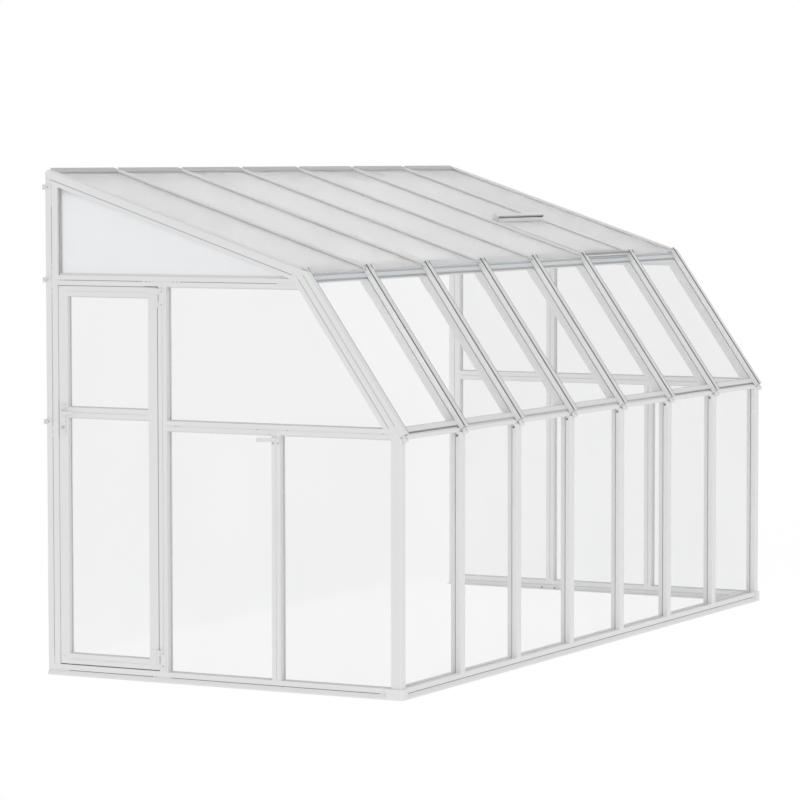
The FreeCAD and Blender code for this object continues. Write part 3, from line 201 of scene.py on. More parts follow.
whiteCoat = coatedMetal("white_coat", grey(0.77), grey(0.80), 0.42)
whiteMoulding = coatedMetal("white_moulding", grey(0.78), grey(0.81), 0.55)
roofSheet = flutedSheet("roof_sheet", grey(0.88), grey(0.92), "X")
gableSheet = flutedSheet("gable_sheet", (0.85, 0.855, 0.862), (0.89, 0.895, 0.902), "Y")
endClear = clearSheet("end_clear_sheet", 0.10)
frontClear = clearSheet("front_clear_sheet", 0.09)
farClear = clearSheet("far_clear_sheet", 0.045)
ridgeFoam = rubberStrip("ridge_foam", grey(0.57), grey(0.65))
# painted shade and reflection: the roll's darker bluish grey paints the shade under the roof's edge, the
# fillet's lighter bluish grey paints its lit lower part
eaveRollPaintedShade = rubberStrip("eave_roll_painted_shade", (0.53, 0.55, 0.57), (0.59, 0.61, 0.63))
eaveFilletPaintedLight = rubberStrip("eave_fillet_painted_light", (0.68, 0.70, 0.72), (0.74, 0.76, 0.78))
# rubbers from dark to pale; the dark, grey and light ones also serve as painted shade on the strips laid
# in gaps and grooves
darkRubberAndPaintedShade = rubberStrip("dark_rubber_and_painted_shade", grey(0.14), grey(0.19))
greyRubberAndPaintedShade = rubberStrip("grey_rubber_and_painted_shade", grey(0.30), grey(0.36))
lightRubberAndPaintedShade = rubberStrip("light_rubber_and_painted_shade", grey(0.50), grey(0.56))
paleRubber = rubberStrip("pale_rubber", grey(0.66), grey(0.72))
zincSteel = platedMetal("zinc_steel", grey(0.45), grey(0.60), 0.35)
darkSteel = platedMetal("dark_steel", grey(0.20), grey(0.30), 0.4)
handleCoat = coatedMetal("handle_coat", grey(0.74), grey(0.78), 0.35)
nickelPlate = platedMetal("nickel_plate", (0.55, 0.54, 0.52), (0.68, 0.67, 0.65), 0.25)

slotFinish = {
    "white_frame": whiteCoat, "white_moulding": whiteMoulding, "roof_sheet": roofSheet,
    "gable_sheet": gableSheet, "clear_sheet": frontClear, "ridge_seal": ridgeFoam,
    "dark_seal": darkRubberAndPaintedShade, "steel": zincSteel, "handle_finish": handleCoat,
    "lock_metal": nickelPlate,
}
nodeFinish = {
    "end_panels_door_end": endClear, "door_panels": endClear, "end_panels_far_end": farClear,
    "door_seals": paleRubber,
}
for part in frame["record"]["subparts"]:
    mesh = nodes[part["node"]].data
    mesh.materials.clear()
    mesh.materials.append(nodeFinish.get(part["node"], slotFinish[part["material_slot"]]))
print("finishes set")


# Places on the frame, in metres: the two slopes meet at the eave corner

lines = {
    "bars": np.linspace(-2.1, 2.1, 8), "halfBar": 0.023, "bayGap": 0.0008, "endX": 2.1, "halfClear": 0.002,
    "wallY": 0.96, "wallGroove": 0.927, "wallPostY": 0.894, "jambY": 0.321, "mullionY": -0.284,
    "cornerPostY": -0.879, "frontY": -0.903, "postRise": 0.028, "frontRailLow": 1.177,
    "sillTop": 0.05, "sillLine": 0.0255,
    "midLow": 1.181, "midLine": 1.204, "midHigh": 1.227,
    "topLow": 1.851, "topLine": 1.874, "topHigh": 1.897,
    "roofEnd": 1.412, "roofUnder": -0.052,  # up the roof from the eave corner
    "panelTop": 0.0575, "kneeFoot": 0.8843, "kneeRise": 0.030, "kneeUnder": -0.041, "endUnder": -0.050,
    "ventBay": 5, "ventLow": -0.030, "hoodEdge": 0.519,
}
eaveCorner = np.array([0.0, -0.406094, 1.935271])
roofPitch = math.radians(18.3)
kneePitch = math.radians(55.1027)
alongX, alongY, alongZ = np.eye(3)
upRoof = np.array([0.0, math.cos(roofPitch), math.sin(roofPitch)])
outRoof = np.array([0.0, -math.sin(roofPitch), math.cos(roofPitch)])
downKnee = np.array([0.0, -math.cos(kneePitch), -math.sin(kneePitch)])
outKnee = np.array([0.0, -math.sin(kneePitch), math.cos(kneePitch)])


def onRoof(x, s, v):
    # s up the slope from the eave corner, v away from the roof sheets
    return eaveCorner + x * alongX + s * upRoof + v * outRoof


def onKnee(x, s, v):
    # s down the knee from the eave corner, v away from the knee panels
    return eaveCorner + x * alongX + s * downKnee + v * outKnee


def roofLine(y):
    # height of the underside of the rafters above y
    under = lines["roofUnder"] / math.cos(roofPitch)
    return eaveCorner[2] + (y - eaveCorner[1]) * math.tan(roofPitch) + under


def kneeLine(z):
    # y of the underside of the end knee bars at height z
    run = (z - eaveCorner[2]) / math.tan(kneePitch)
    return eaveCorner[1] + run - lines["endUnder"] / math.sin(kneePitch)


def gableTip():
    # y at which the underside of the rafters meets the top of the top rail
    return eaveCorner[1] + (lines["topHigh"] - roofLine(eaveCorner[1])) / math.tan(roofPitch)


def bays():
    # clear span of each bay between its bars
    reach = lines["halfBar"] + lines["bayGap"]
    return list(zip(lines["bars"][:-1] + reach, lines["bars"][1:] - reach))


# Making of pieces

crispAngle = {"strip": 40, "screw": 35, "lever": 50}  # edges sharper than this stay crisp, in degrees


def addPiece(name, mesh, finish, body):
    # a mesh becomes a piece that rides on a body and takes a slot
    mesh.materials.append(finish)
    piece = bpy.data.objects.new(name, mesh)
    scene.collection.objects.link(piece)
    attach(piece, body)
    return piece


def smoothMesh(mesh, degrees):
    # smooth faces, with edges sharper than the angle left crisp
    mesh.polygons.foreach_set("use_smooth", np.ones(len(mesh.polygons), dtype=bool))
    mesh.set_sharp_from_angle(angle=math.radians(degrees))


def stripMesh(name, runs, outline):
    # a closed outline (u, v) carried along each straight run: end + u * across + v * out
    outline = np.asarray(outline, dtype=float)
    starts, ends, across, out = (np.array(column, dtype=float) for column in zip(*runs))
    turned = np.einsum("ij,ij->i", np.cross(across, out), ends - starts) < 0
    near = np.where(turned[:, None], ends, starts)
    far = np.where(turned[:, None], starts, ends)
    section = outline[None, :, :1] * across[:, None] + outline[None, :, 1:] * out[:, None]
    points = np.stack([near[:, None] + section, far[:, None] + section], axis=1)
    count = len(outline)
    ring = np.arange(count)
    following = np.roll(ring, -1)
    offsets = (np.arange(len(runs)) * 2 * count)[:, None]
    quads = np.stack([ring, following, following + count, ring + count], axis=1)
    sides = (offsets[:, :, None] + quads[None]).reshape(-1, 4)
    caps = np.concatenate([offsets + ring[::-1], offsets + ring + count])
    mesh = bpy.data.meshes.new(name)
    mesh.from_pydata(points.reshape(-1, 3).tolist(), [], sides.tolist() + caps.tolist())
    smoothMesh(mesh, crispAngle["strip"])
    return mesh


def roundedStrip(width, height, power=0.6, steps=5):
    # flat foot, top rounded as half a super-ellipse
    angle = np.linspace(0.0, math.pi, 2 * steps + 1)
    u = width / 2 * np.sign(np.cos(angle)) * np.abs(np.cos(angle)) ** power
    v = height * np.abs(np.sin(angle)) ** power
    return np.stack([u, v], axis=1)


def quarterBead(size, steps=5):
    # hollow quarter round in the corner between a frame edge and a panel
    angle = np.linspace(0.0, math.pi / 2, steps + 1)
    arc = size * np.stack([1 - np.cos(angle), 1 - np.sin(angle)], axis=1)
    return np.concatenate([[(0.0, 0.0)], arc[::-1]])


def addStrips(name, runs, outline, finish, body="frame"):
    # one piece for all the runs that share an outline
    return addPiece(name, stripMesh(name, runs, outline), finish, body)


# Glazing strips beside the knee bars and the front posts, and covers at the foot of the knee panels

rubberSettings = {
    "width": 0.0022, "height": 0.0014, "pastFoot": 0.006, "footWidth": 0.0036, "footHeight": 0.0014,
    "coverTop": 0.8590, "coverGap": 0.0020, "coverHeight": 0.0007, "coverPower": 0.3,
}


def barSides():
    # the x of each side of a bar that a panel meets
    reach = lines["halfBar"] + rubberSettings["width"] / 2
    return np.concatenate([lines["bars"][1:] - reach, lines["bars"][:-1] + reach])


def makeRubbers():
    # runs down both sides of each bar and post, and across the foot of each bay
    s = rubberSettings
    front, foot = lines["frontY"], lines["kneeFoot"]
    kneeRuns = [(onKnee(x, lines["panelTop"], 0), onKnee(x, foot + s["pastFoot"], 0), alongX, outKnee)
                for x in barSides()]
    postRuns = [((x, front, lines["sillTop"]), (x, front, lines["frontRailLow"]), alongX, -alongY)
                for x in barSides()]
    footRuns = [(onKnee(a, foot, 0), onKnee(b, foot, 0), downKnee, outKnee) for a, b in bays()]
    low, high = s["coverTop"], foot - s["coverGap"]
    middle = (low + high) / 2
    coverRuns = [(onKnee(a, middle, 0), onKnee(b, middle, 0), downKnee, outKnee) for a, b in bays()]
    side = roundedStrip(s["width"], s["height"])
    addStrips("knee_rubbers", kneeRuns, side, whiteMoulding)
    addStrips("post_rubbers", postRuns, side, whiteMoulding)
    addStrips("foot_rubbers", footRuns, roundedStrip(s["footWidth"], s["footHeight"]),
              paleRubber)
    addStrips("foot_covers", coverRuns, roundedStrip(high - low, s["coverHeight"], s["coverPower"]),
              whiteCoat)


# Edge strips: a dark one on each shoulder of a knee cap that a panel meets, painted shadow for the gap at
# the cap's edge, a white one on both flanks of each roof cap

edgeSettings = {
    "width": 0.006, "height": 0.0011, "inset": 0.0018, "slant": 0.7071, "start": 0.004, "pastFoot": 0.023,
    "flankWidth": 0.0024, "flankHeight": 0.0008,
}


def makeEdgeStrips():
    # the shoulder strip lies across the rounded edge, halfway between the flank and the top
    s = edgeSettings
    level, foot = lines["kneeRise"] - s["inset"], lines["kneeFoot"] + s["pastFoot"]
    middle = s["flankWidth"] / 2
    kneeRuns, roofRuns = [], []
    for x in lines["bars"]:
        for side in (-1, 1):
            edge = x + side * (lines["halfBar"] - s["inset"])
            flank = x + side * lines["halfBar"]
            across = side * s["slant"] * alongX - s["slant"] * outKnee
            out = side * s["slant"] * alongX + s["slant"] * outKnee
            if abs(edge) < lines["endX"]:
                kneeRuns.append((onKnee(edge, s["start"], level), onKnee(edge, foot, level), across, out))
            roofRuns.append((onRoof(flank, s["start"], middle), onRoof(flank, lines["roofEnd"], middle),
                             outRoof, side * alongX))
    # the dark shoulder strips are painted shadow for the gap at each edge of the knee cap
    addStrips("knee_edge_shadow_strips", kneeRuns, roundedStrip(s["width"], s["height"]), darkRubberAndPaintedShade)
    addStrips("roof_edge_strips", roofRuns, roundedStrip(s["flankWidth"], s["flankHeight"]),
              whiteMoulding)


# Rubber cords in the grooves, grey and dark as painted shade of the grooves: along the end rafters and
# knees, the wall posts, the top rails and the sills

grooveShadeCordSettings = {
    "width": 0.0028, "height": 0.0014, "inset": 0.002,
    "roofSpan": (0.03, 1.40), "roofLevel": -0.0305, "kneeSpan": (0.03, 0.84), "kneeLevel": -0.0245,
    "postSpans": ((0.09, 1.13), (1.18, 1.81), (1.95, 2.22)), "railSpans": ((0.864, 0.43), (0.225, -0.29)),
    "sillSpans": ((0.281, -0.814), (0.844, 0.381)), "frontSpan": (-2.05, 2.05),
}


def makeGrooveShadeCords():
    # straight runs along the grooves, each a little inside its face
    s = grooveShadeCordSettings
    endRuns, sillRuns = [], []
    groove, top, sill = lines["wallGroove"], lines["topLine"], lines["sillLine"]
    for end in (-1, 1):
        face = end * (lines["endX"] + lines["halfBar"] - s["inset"])
        out = end * alongX
        roofFrom, roofTo = (onRoof(face, place, s["roofLevel"]) for place in s["roofSpan"])
        kneeFrom, kneeTo = (onKnee(face, place, s["kneeLevel"]) for place in s["kneeSpan"])
        endRuns += [(roofFrom, roofTo, outRoof, out), (kneeFrom, kneeTo, outKnee, out)]
        endRuns += [((face, groove, a), (face, groove, b), alongY, out) for a, b in s["postSpans"]]
        endRuns += [((face, a, top), (face, b, top), alongZ, out) for a, b in s["railSpans"]]
        sillRuns += [((face, a, sill), (face, b, sill), alongZ, out) for a, b in s["sillSpans"]]
    front = lines["frontY"] - lines["postRise"] + s["inset"]
    left, right = s["frontSpan"]
    sillRuns.append(((left, front, sill), (right, front, sill), alongZ, -alongY))
    outline = roundedStrip(s["width"], s["height"])
    # grey and dark cords paint the shade of the grooves they lie in
    addStrips("end_groove_shade_cords", endRuns, outline, greyRubberAndPaintedShade)
    addStrips("sill_groove_shade_cords", sillRuns, outline, darkRubberAndPaintedShade)


# Faint joint lines: down the middle of the members of the end walls inside, and on the end knees outside

jointSettings = {
    "width": 0.0032, "height": 0.0006, "postSpan": (0.08, 2.26), "jambSpan": (0.06, 1.84),
    "mullionSpan": (0.06, 1.17), "sillFront": -0.819, "kneeGap": 0.05, "wallEnds": (0.291, 0.884),
    "inset": 0.006, "kneeSpan": (0.03, 0.85), "kneeLevel": 0.0045,
}


def makeJointLines():
    # one run along each member; the door end has none in the door's bay
    s = jointSettings
    uprights = ((lines["wallGroove"], s["postSpan"]), (lines["jambY"], s["jambSpan"]),
                (lines["mullionY"], s["mullionSpan"]))
    rails = [(lines["sillLine"], s["sillFront"])]
    rails += [(z, kneeLine(z) + s["kneeGap"]) for z in (lines["midLine"], lines["topLine"])]
    runs = []
    for end, wall in zip((-1, 1), s["wallEnds"]):
        x = end * (lines["endX"] - lines["halfBar"])
        face = end * (lines["endX"] + lines["halfBar"] - s["inset"])
        kneeFrom, kneeTo = (onKnee(face, place, s["kneeLevel"]) for place in s["kneeSpan"])
        runs += [((x, y, low), (x, y, high), alongY, -end * alongX) for y, (low, high) in uprights]
        runs += [((x, front, z), (x, wall, z), alongZ, -end * alongX) for z, front in rails]
        runs.append((kneeFrom, kneeTo, outKnee, end * alongX))
    addStrips("joint_lines", runs, roundedStrip(s["width"], s["height"]), lightRubberAndPaintedShade)


# Eave: a roll and a fillet on each purlin, the roll darker as painted shade under the roof's edge and the
# fillet lighter as a painted lit part, both bluish as a painted reflection, with a light bead at the top
# of the knee panel

eaveSettings = {
    "sink": 0.0055, "steps": 7,
    "rollAt": 0.0210, "rollWidth": 0.018, "rollRise": 0.0085, "rollPower": 0.8,
    "filletAt": 0.0425, "filletWidth": 0.022, "filletRise": 0.0068, "filletPower": 0.5,
    "beadAt": 0.0565, "beadWidth": 0.003, "beadRise": 0.0016,
}


def eaveRuns(place, level):
    # one run across each bay, at one place down the knee
    return [(onKnee(a, place, level), onKnee(b, place, level), downKnee, outKnee) for a, b in bays()]


def makeEave():
    # the roll and the fillet are sunk into the purlin, the bead lies on the panel
    s = eaveSettings
    roll = roundedStrip(s["rollWidth"], s["rollRise"], s["rollPower"], s["steps"])
    fillet = roundedStrip(s["filletWidth"], s["filletRise"], s["filletPower"], s["steps"])
    bead = roundedStrip(s["beadWidth"], s["beadRise"])
    # the roll's finish is painted shade and the fillet's a lighter painted lit part, both tinted bluish as
    # a painted reflection
    addStrips("eave_rolls_painted_shade", eaveRuns(s["rollAt"], -s["sink"]), roll, eaveRollPaintedShade)
    addStrips("eave_fillets_painted_light", eaveRuns(s["filletAt"], -s["sink"]), fillet, eaveFilletPaintedLight)
    addStrips("eave_beads", eaveRuns(s["beadAt"], 0.0), bead, lightRubberAndPaintedShade)


# Beads round the panels of the end walls and the door, on both faces

beadSettings = {
    "size": 0.005, "doorRail": 0.048, "doorMiddle": 1.251,
    "sealOut": 0.007, "sealWidth": 0.005, "sealRise": 0.0020,
    "wedge": ((0, 0), (0.010, 0), (0.0095, 0.0035), (0, 0.0055)), "wedgeGap": 0.02,
}


def pane(left, right, low, high):
    # corners (y, z) of an upright oblong
    return [(left, low), (right, low), (right, high), (left, high)]


def endOpenings():
    # outlines (y, z) of the panels that both end walls have
    half, post, corner = lines["halfBar"], lines["wallPostY"], lines["cornerPostY"]
    sill, midLow, midHigh = lines["sillTop"], lines["midLow"], lines["midHigh"]
    topLow, topHigh = lines["topLow"], lines["topHigh"]
    jamb, mullion = lines["jambY"] - half, lines["mullionY"]
    gable = [(gableTip(), topHigh), (post, topHigh), (post, roofLine(post))]
    upper = [(kneeLine(midHigh), midHigh), (jamb, midHigh), (jamb, topLow), (kneeLine(topLow), topLow)]
    middle = pane(mullion + half, jamb, sill, midLow)
    front = pane(corner, mullion - half, sill, midLow)
    return [gable, upper, middle, front]


def wallBayOpenings():
    # outlines of the two panels beside the wall post, which the far end alone has
    low, high = lines["jambY"] + lines["halfBar"], lines["wallPostY"]
    return [pane(low, high, lines["sillTop"], lines["midLow"]),
            pane(low, high, lines["midHigh"], lines["topLow"])]


def doorOpenings():
    # inner edges of the stiles and rails of the door leaf
    low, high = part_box("hinge_stile")[1].y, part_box("latch_stile")[0].y
    bottom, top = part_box("door_rails")[0].z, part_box("door_rails")[1].z
    rail, middle = beadSettings["doorRail"], beadSettings["doorMiddle"]
    return [pane(low, high, bottom + rail, middle - rail / 2),
            pane(low, high, middle + rail / 2, top - rail)]


def beadRuns(outline, x, out):
    # one run along each edge; across points into the opening
    corners = np.array([(x, y, z) for y, z in outline])
    following = np.roll(corners, -1, axis=0)
    inward = np.cross(alongX, following - corners)
    inward /= np.linalg.norm(inward, axis=1)[:, None]
    return [(a, b, i, out * alongX) for a, b, i in zip(corners, following, inward)]


def allBeadRuns(outlines, x):
    # the runs of all outlines on both faces of the panels at x
    return [run for outline in outlines for out in (-1, 1)
            for run in beadRuns(outline, x + out * lines["halfClear"], out)]


def makeBeads():
    # beads in every corner, a seal up the gables' wall side and a white wedge along their foot
    s = beadSettings
    endX, post, top, foot = lines["endX"], lines["wallPostY"], lines["topHigh"], gableTip() + s["wedgeGap"]
    leaf = (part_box("door_panels")[0].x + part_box("door_panels")[1].x) / 2
    bead = quarterBead(s["size"])
    addStrips("near_beads", allBeadRuns(endOpenings(), -endX), bead, paleRubber)
    addStrips("far_beads", allBeadRuns(endOpenings() + wallBayOpenings(), endX), bead,
              paleRubber)
    addStrips("door_beads", allBeadRuns(doorOpenings(), leaf), bead, paleRubber, "door")
    sealRuns, wedgeRuns = [], []
    for end in (-1, 1):
        for out in (-1, 1):
            seal, face = end * endX + out * s["sealOut"], end * endX + out * lines["halfClear"]
            sealRuns.append(((seal, post, top), (seal, post, roofLine(post)), out * alongX, -alongY))
            wedgeRuns.append(((face, foot, top), (face, post, top), alongZ, out * alongX))
    addStrips("gable_seals", sealRuns, roundedStrip(s["sealWidth"], s["sealRise"]),
              greyRubberAndPaintedShade)
    addStrips("gable_wedges", wedgeRuns, s["wedge"], whiteMoulding)


# Door stops: thin white strips in the gaps at the head and the latch side,
# with room left for the hinge and the lock

stopSettings = {
    "x": -2.117, "width": 0.009, "power": 0.4, "headRise": 0.0022, "headFrom": 0.420,
    "sideRise": 0.0012, "sideSpans": ((0.07, 1.13), (1.31, 1.84)),
}


def makeDoorStops():
    # one run under the top rail and two up the wall post, each standing into the gap
    s = stopSettings
    x, post, head = s["x"], lines["wallPostY"], lines["topLow"]
    headRun = ((x, s["headFrom"], head), (x, post - s["sideRise"], head), alongX, -alongZ)
    sideRuns = [((x, post, low), (x, post, high), alongX, -alongY) for low, high in s["sideSpans"]]
    addStrips("door_head_stop", [headRun], roundedStrip(s["width"], s["headRise"], s["power"]),
              whiteMoulding)
    addStrips("door_side_stop", sideRuns, roundedStrip(s["width"], s["sideRise"], s["power"]),
              whiteMoulding)


# Plugs in the open ends of the end rafters and end sills, behind

plugSettings = {
    "span": (2.0783, 2.1174), "y": 0.9565, "rise": 0.0025, "height": 0.0315, "power": 0.25,
    "levels": (2.3622, 0.018),
}


def makePlugs():
    # one short run across each opening, standing out towards the open side
    s = plugSettings
    low, high = s["span"]
    runs = [((end * low, s["y"], z), (end * high, s["y"], z), alongZ, alongY)
            for end in (-1, 1) for z in s["levels"]]
    addStrips("tube_plugs", runs, roundedStrip(s["height"], s["rise"], s["power"]),
              whiteMoulding)


# Roof vent: seals along the header, the foot and the sides, grey to dark as painted shade in the gaps, a
# white flap and the cheeks of the hood

ventSettings = {
    "inset": 0.0045, "thick": 0.0016, "power": 0.4,
    "headLevels": (0.0325, 0.0388), "footLevels": (0.005, 0.0185),
    "flapAt": 0.5175, "flapLevels": (0.0115, 0.0255),
    "sideEnd": 0.515, "sideLevels": (0.006, 0.0118), "sideThick": 0.0012,
    "cheekEnd": 0.548, "cheekLevels": (0.010, 0.0362), "cheekThick": 0.0014, "cheekX": (0.9252, 1.4748),
}


def upRuns(places, start, stop, levels):
    # a run up the roof at each x, halfway between the levels, facing away from the vent
    middle = (levels[0] + levels[1]) / 2
    return [(onRoof(x, start, middle), onRoof(x, stop, middle), outRoof, out * alongX)
            for x, out in zip(places, (-1, 1))]


def makeVentSeals():
    # each outline is as wide as its two levels are apart
    s = ventSettings
    left, right = bays()[lines["ventBay"]]
    left, right = left + s["inset"], right - s["inset"]
    # the head, foot and side seals are grey to dark as painted shade in the gaps round the vent
    places = (("vent_head_shade_seal", lines["hoodEdge"], s["headLevels"], lightRubberAndPaintedShade, "frame"),
              ("vent_foot_shade_seal", lines["ventLow"], s["footLevels"], greyRubberAndPaintedShade, "vent"),
              ("vent_flap", s["flapAt"], s["flapLevels"], whiteMoulding, "vent"))
    for name, place, (low, high), finish, body in places:
        middle = (low + high) / 2
        run = (onRoof(left, place, middle), onRoof(right, place, middle), outRoof, -upRoof)
        addStrips(name, [run], roundedStrip(high - low, s["thick"], s["power"]), finish, body)
    low, high = s["sideLevels"]
    sideRuns = upRuns((left, right), lines["ventLow"], s["sideEnd"], s["sideLevels"])
    addStrips("vent_side_shade_seals", sideRuns, roundedStrip(high - low, s["sideThick"], s["power"]),
              greyRubberAndPaintedShade, "vent")
    low, high = s["cheekLevels"]
    cheekRuns = upRuns(s["cheekX"], lines["hoodEdge"], s["cheekEnd"], s["cheekLevels"])
    addStrips("hood_cheeks", cheekRuns, roundedStrip(high - low, s["cheekThick"], s["power"]),
              paleRubber)


# Screws: domed heads with a hexagon socket

screwSettings = {
    "sides": 18, "socketFrom": 6,  # rings from this one on follow the socket
    "frameScrew": (0.004, 0.0024, 0.007), "grooveScrew": (0.0028, 0.0012, 0.004),  # radius, rise, shank
    "postScrew": (0.0055, 0.002, 0.004),
    "noseDown": 0.040, "noseOut": 0.016, "bracketPlaces": (0.07, 0.119), "bracketOut": 0.004,
    "tabX": 2.126, "tabY": 0.946, "tabDrop": 0.022,
    "leafX": -2.126, "leafShift": 0.00075, "leafInset": 0.045, "leafSpread": 0.03,
    "catchX": -2.127, "catchZ": 1.143, "catchSpread": 0.0115,
    "outsideX": 2.1212, "insideX": 2.077,
    "postIn": 0.007, "postZ": 1.160, "farFootY": (0.29, 0.37, 0.945), "farFootZ": 0.008,
}
outsideScrews = {  # y away from an upright, by rail
    "topLine": (("jambY", 0.087), ("jambY", 0.069), ("jambY", -0.061), ("jambY", -0.079),
                ("wallPostY", -0.017)),
    "midLine": (("jambY", -0.067), ("jambY", -0.083), ("mullionY", 0.10), ("mullionY", -0.059),
                ("cornerPostY", 0.043)),
    "sillLine": (("jambY", 0.060), ("jambY", 0.043), ("jambY", -0.041), ("mullionY", 0.056),
                 ("mullionY", -0.054), ("cornerPostY", 0.061)),
}
outsidePostScrews = (1.155, 1.83, 1.93)
insideScrews = {"wallGroove": (1.15, 1.26, 1.82), "jambY": (1.15, 1.26, 1.80), "mullionY": (1.14,)}


def screwMesh(name, seats, radius, rise, shank):
    # rings (radius, height) turned about each seat; the inner rings follow a hexagon
    rings = np.array([(0.5, -shank / rise), (0.5, -0.05), (1.0, -0.02), (1.0, 0.35), (0.82, 0.8),
                      (0.5, 1.0), (0.46, 1.0), (0.42, 0.3)]) * [radius, rise]
    places, axes = (np.array(column, dtype=float) for column in zip(*seats))
    axes /= np.linalg.norm(axes, axis=1)[:, None]
    helper = np.where(np.abs(axes[:, 2:]) > 0.9, alongX, alongZ)
    first = np.cross(helper, axes)
    first /= np.linalg.norm(first, axis=1)[:, None]
    second = np.cross(axes, first)
    sides = screwSettings["sides"]
    angle = np.arange(sides) * 2 * math.pi / sides
    hexagon = math.cos(math.pi / 6) / np.cos(np.mod(angle, math.pi / 3) - math.pi / 6)
    inSocket = np.arange(len(rings)) >= screwSettings["socketFrom"]
    reach = rings[:, :1] * np.where(inSocket[:, None], hexagon, 1.0)
    spoke = np.cos(angle)[None, :, None] * first[:, None] + np.sin(angle)[None, :, None] * second[:, None]
    points = (places[:, None, None] + reach[None, :, :, None] * spoke[:, None]
              + (rings[:, 1][None, :, None] * axes[:, None])[:, :, None])
    ring = np.arange(sides)
    following = np.roll(ring, -1)
    levels = (np.arange(len(rings) - 1) * sides)[:, None, None]
    quads = np.stack([ring, following, following + sides, ring + sides], axis=1)[None] + levels
    offsets = (np.arange(len(seats)) * len(rings) * sides)[:, None]
    faces = (offsets[:, :, None] + quads.reshape(-1, 4)[None]).reshape(-1, 4)
    caps = np.concatenate([offsets + ring[::-1], offsets + ring + (len(rings) - 1) * sides])
    mesh = bpy.data.meshes.new(name)
    mesh.from_pydata(points.reshape(-1, 3).tolist(), [], faces.tolist() + caps.tolist())
    smoothMesh(mesh, crispAngle["screw"])
    return mesh


def frameScrewSeats():
    # noses, eave brackets, wall tabs, hinge leaves and the door catch
    s = screwSettings
    seats = [(onKnee(x, lines["kneeFoot"] + s["noseDown"], s["noseOut"]), outKnee) for x in lines["bars"]]
    for x in lines["bars"][1:-1]:
        for place in s["bracketPlaces"]:
            seats.append((onRoof(x, place, lines["roofUnder"] - s["bracketOut"]), -outRoof))
            seats.append((onKnee(x, place, lines["kneeUnder"] - s["bracketOut"]), -outKnee))
    for end in (-1, 1):
        for z in (lines["midLine"], lines["topLine"], roofLine(lines["wallY"]) - s["tabDrop"]):
            seats.append(((end * s["tabX"], s["tabY"], z), end * alongX))
    low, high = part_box("frame_hinge_leaves")
    for z in (low.z + s["leafInset"], high.z - s["leafInset"]):
        seats += [((s["leafX"], lines["jambY"] + s["leafShift"], z + side * s["leafSpread"]), -alongX)
                  for side in (-1, 1)]
    seats += [((s["catchX"], lines["mullionY"] + side * s["catchSpread"], s["catchZ"]), -alongX)
              for side in (-1, 1)]
    return seats


def grooveScrewSeats():
    # small screws in the shadow lines of the end walls, beside each joint, and inside by the rails
    outside = [(lines[upright] + away, lines[rail]) for rail, row in outsideScrews.items()
               for upright, away in row]
    outside += [(lines["wallGroove"], z) for z in outsidePostScrews]
    inside = [(lines[upright], z) for upright, heights in insideScrews.items() for z in heights]
    seats = []
    for end in (-1, 1):
        seats += [((end * screwSettings["outsideX"], y, z), end * alongX) for y, z in outside]
        seats += [((end * screwSettings["insideX"], y, z), -end * alongX) for y, z in inside]
    return seats


def postScrewSeats():
    # one at the head of each front post, low on its left flank,
    # and three at the foot of the far sill inside
    s = screwSettings
    seats = [((x - lines["halfBar"], lines["frontY"] - s["postIn"], s["postZ"]), -alongX)
             for x in lines["bars"][1:-1]]
    return seats + [((lines["endX"] - lines["halfBar"], y, s["farFootZ"]), -alongX) for y in s["farFootY"]]


def makeScrews():
    # one mesh for each kind of screw; the large heads stand in for the plain ones
    s = screwSettings
    heads = screwMesh("frame_screw_heads", frameScrewSeats(), *s["frameScrew"])
    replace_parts(addPiece("frame_screw_heads", heads, zincSteel, "frame"), "frame_screws")
    groove = screwMesh("groove_screws", grooveScrewSeats(), *s["grooveScrew"])
    addPiece("groove_screws", groove, darkSteel, "frame")
    post = screwMesh("post_screws", postScrewSeats(), *s["postScrew"])
    addPiece("post_screws", post, darkSteel, "frame")


# Door levers

leverSettings = {
    "y": 0.8655, "z": 1.252, "faces": (-2.131, -2.079), "stand": 0.028, "bend": 0.012, "length": 0.070,
    "neck": 0.0075, "thick": 0.0052, "deep": 0.0078, "taper": 0.22, "tip": 0.009, "tipEnd": 0.0004,
    "easeFrom": 0.6, "easeOver": 1.5, "rings": 65, "sides": 24,
}


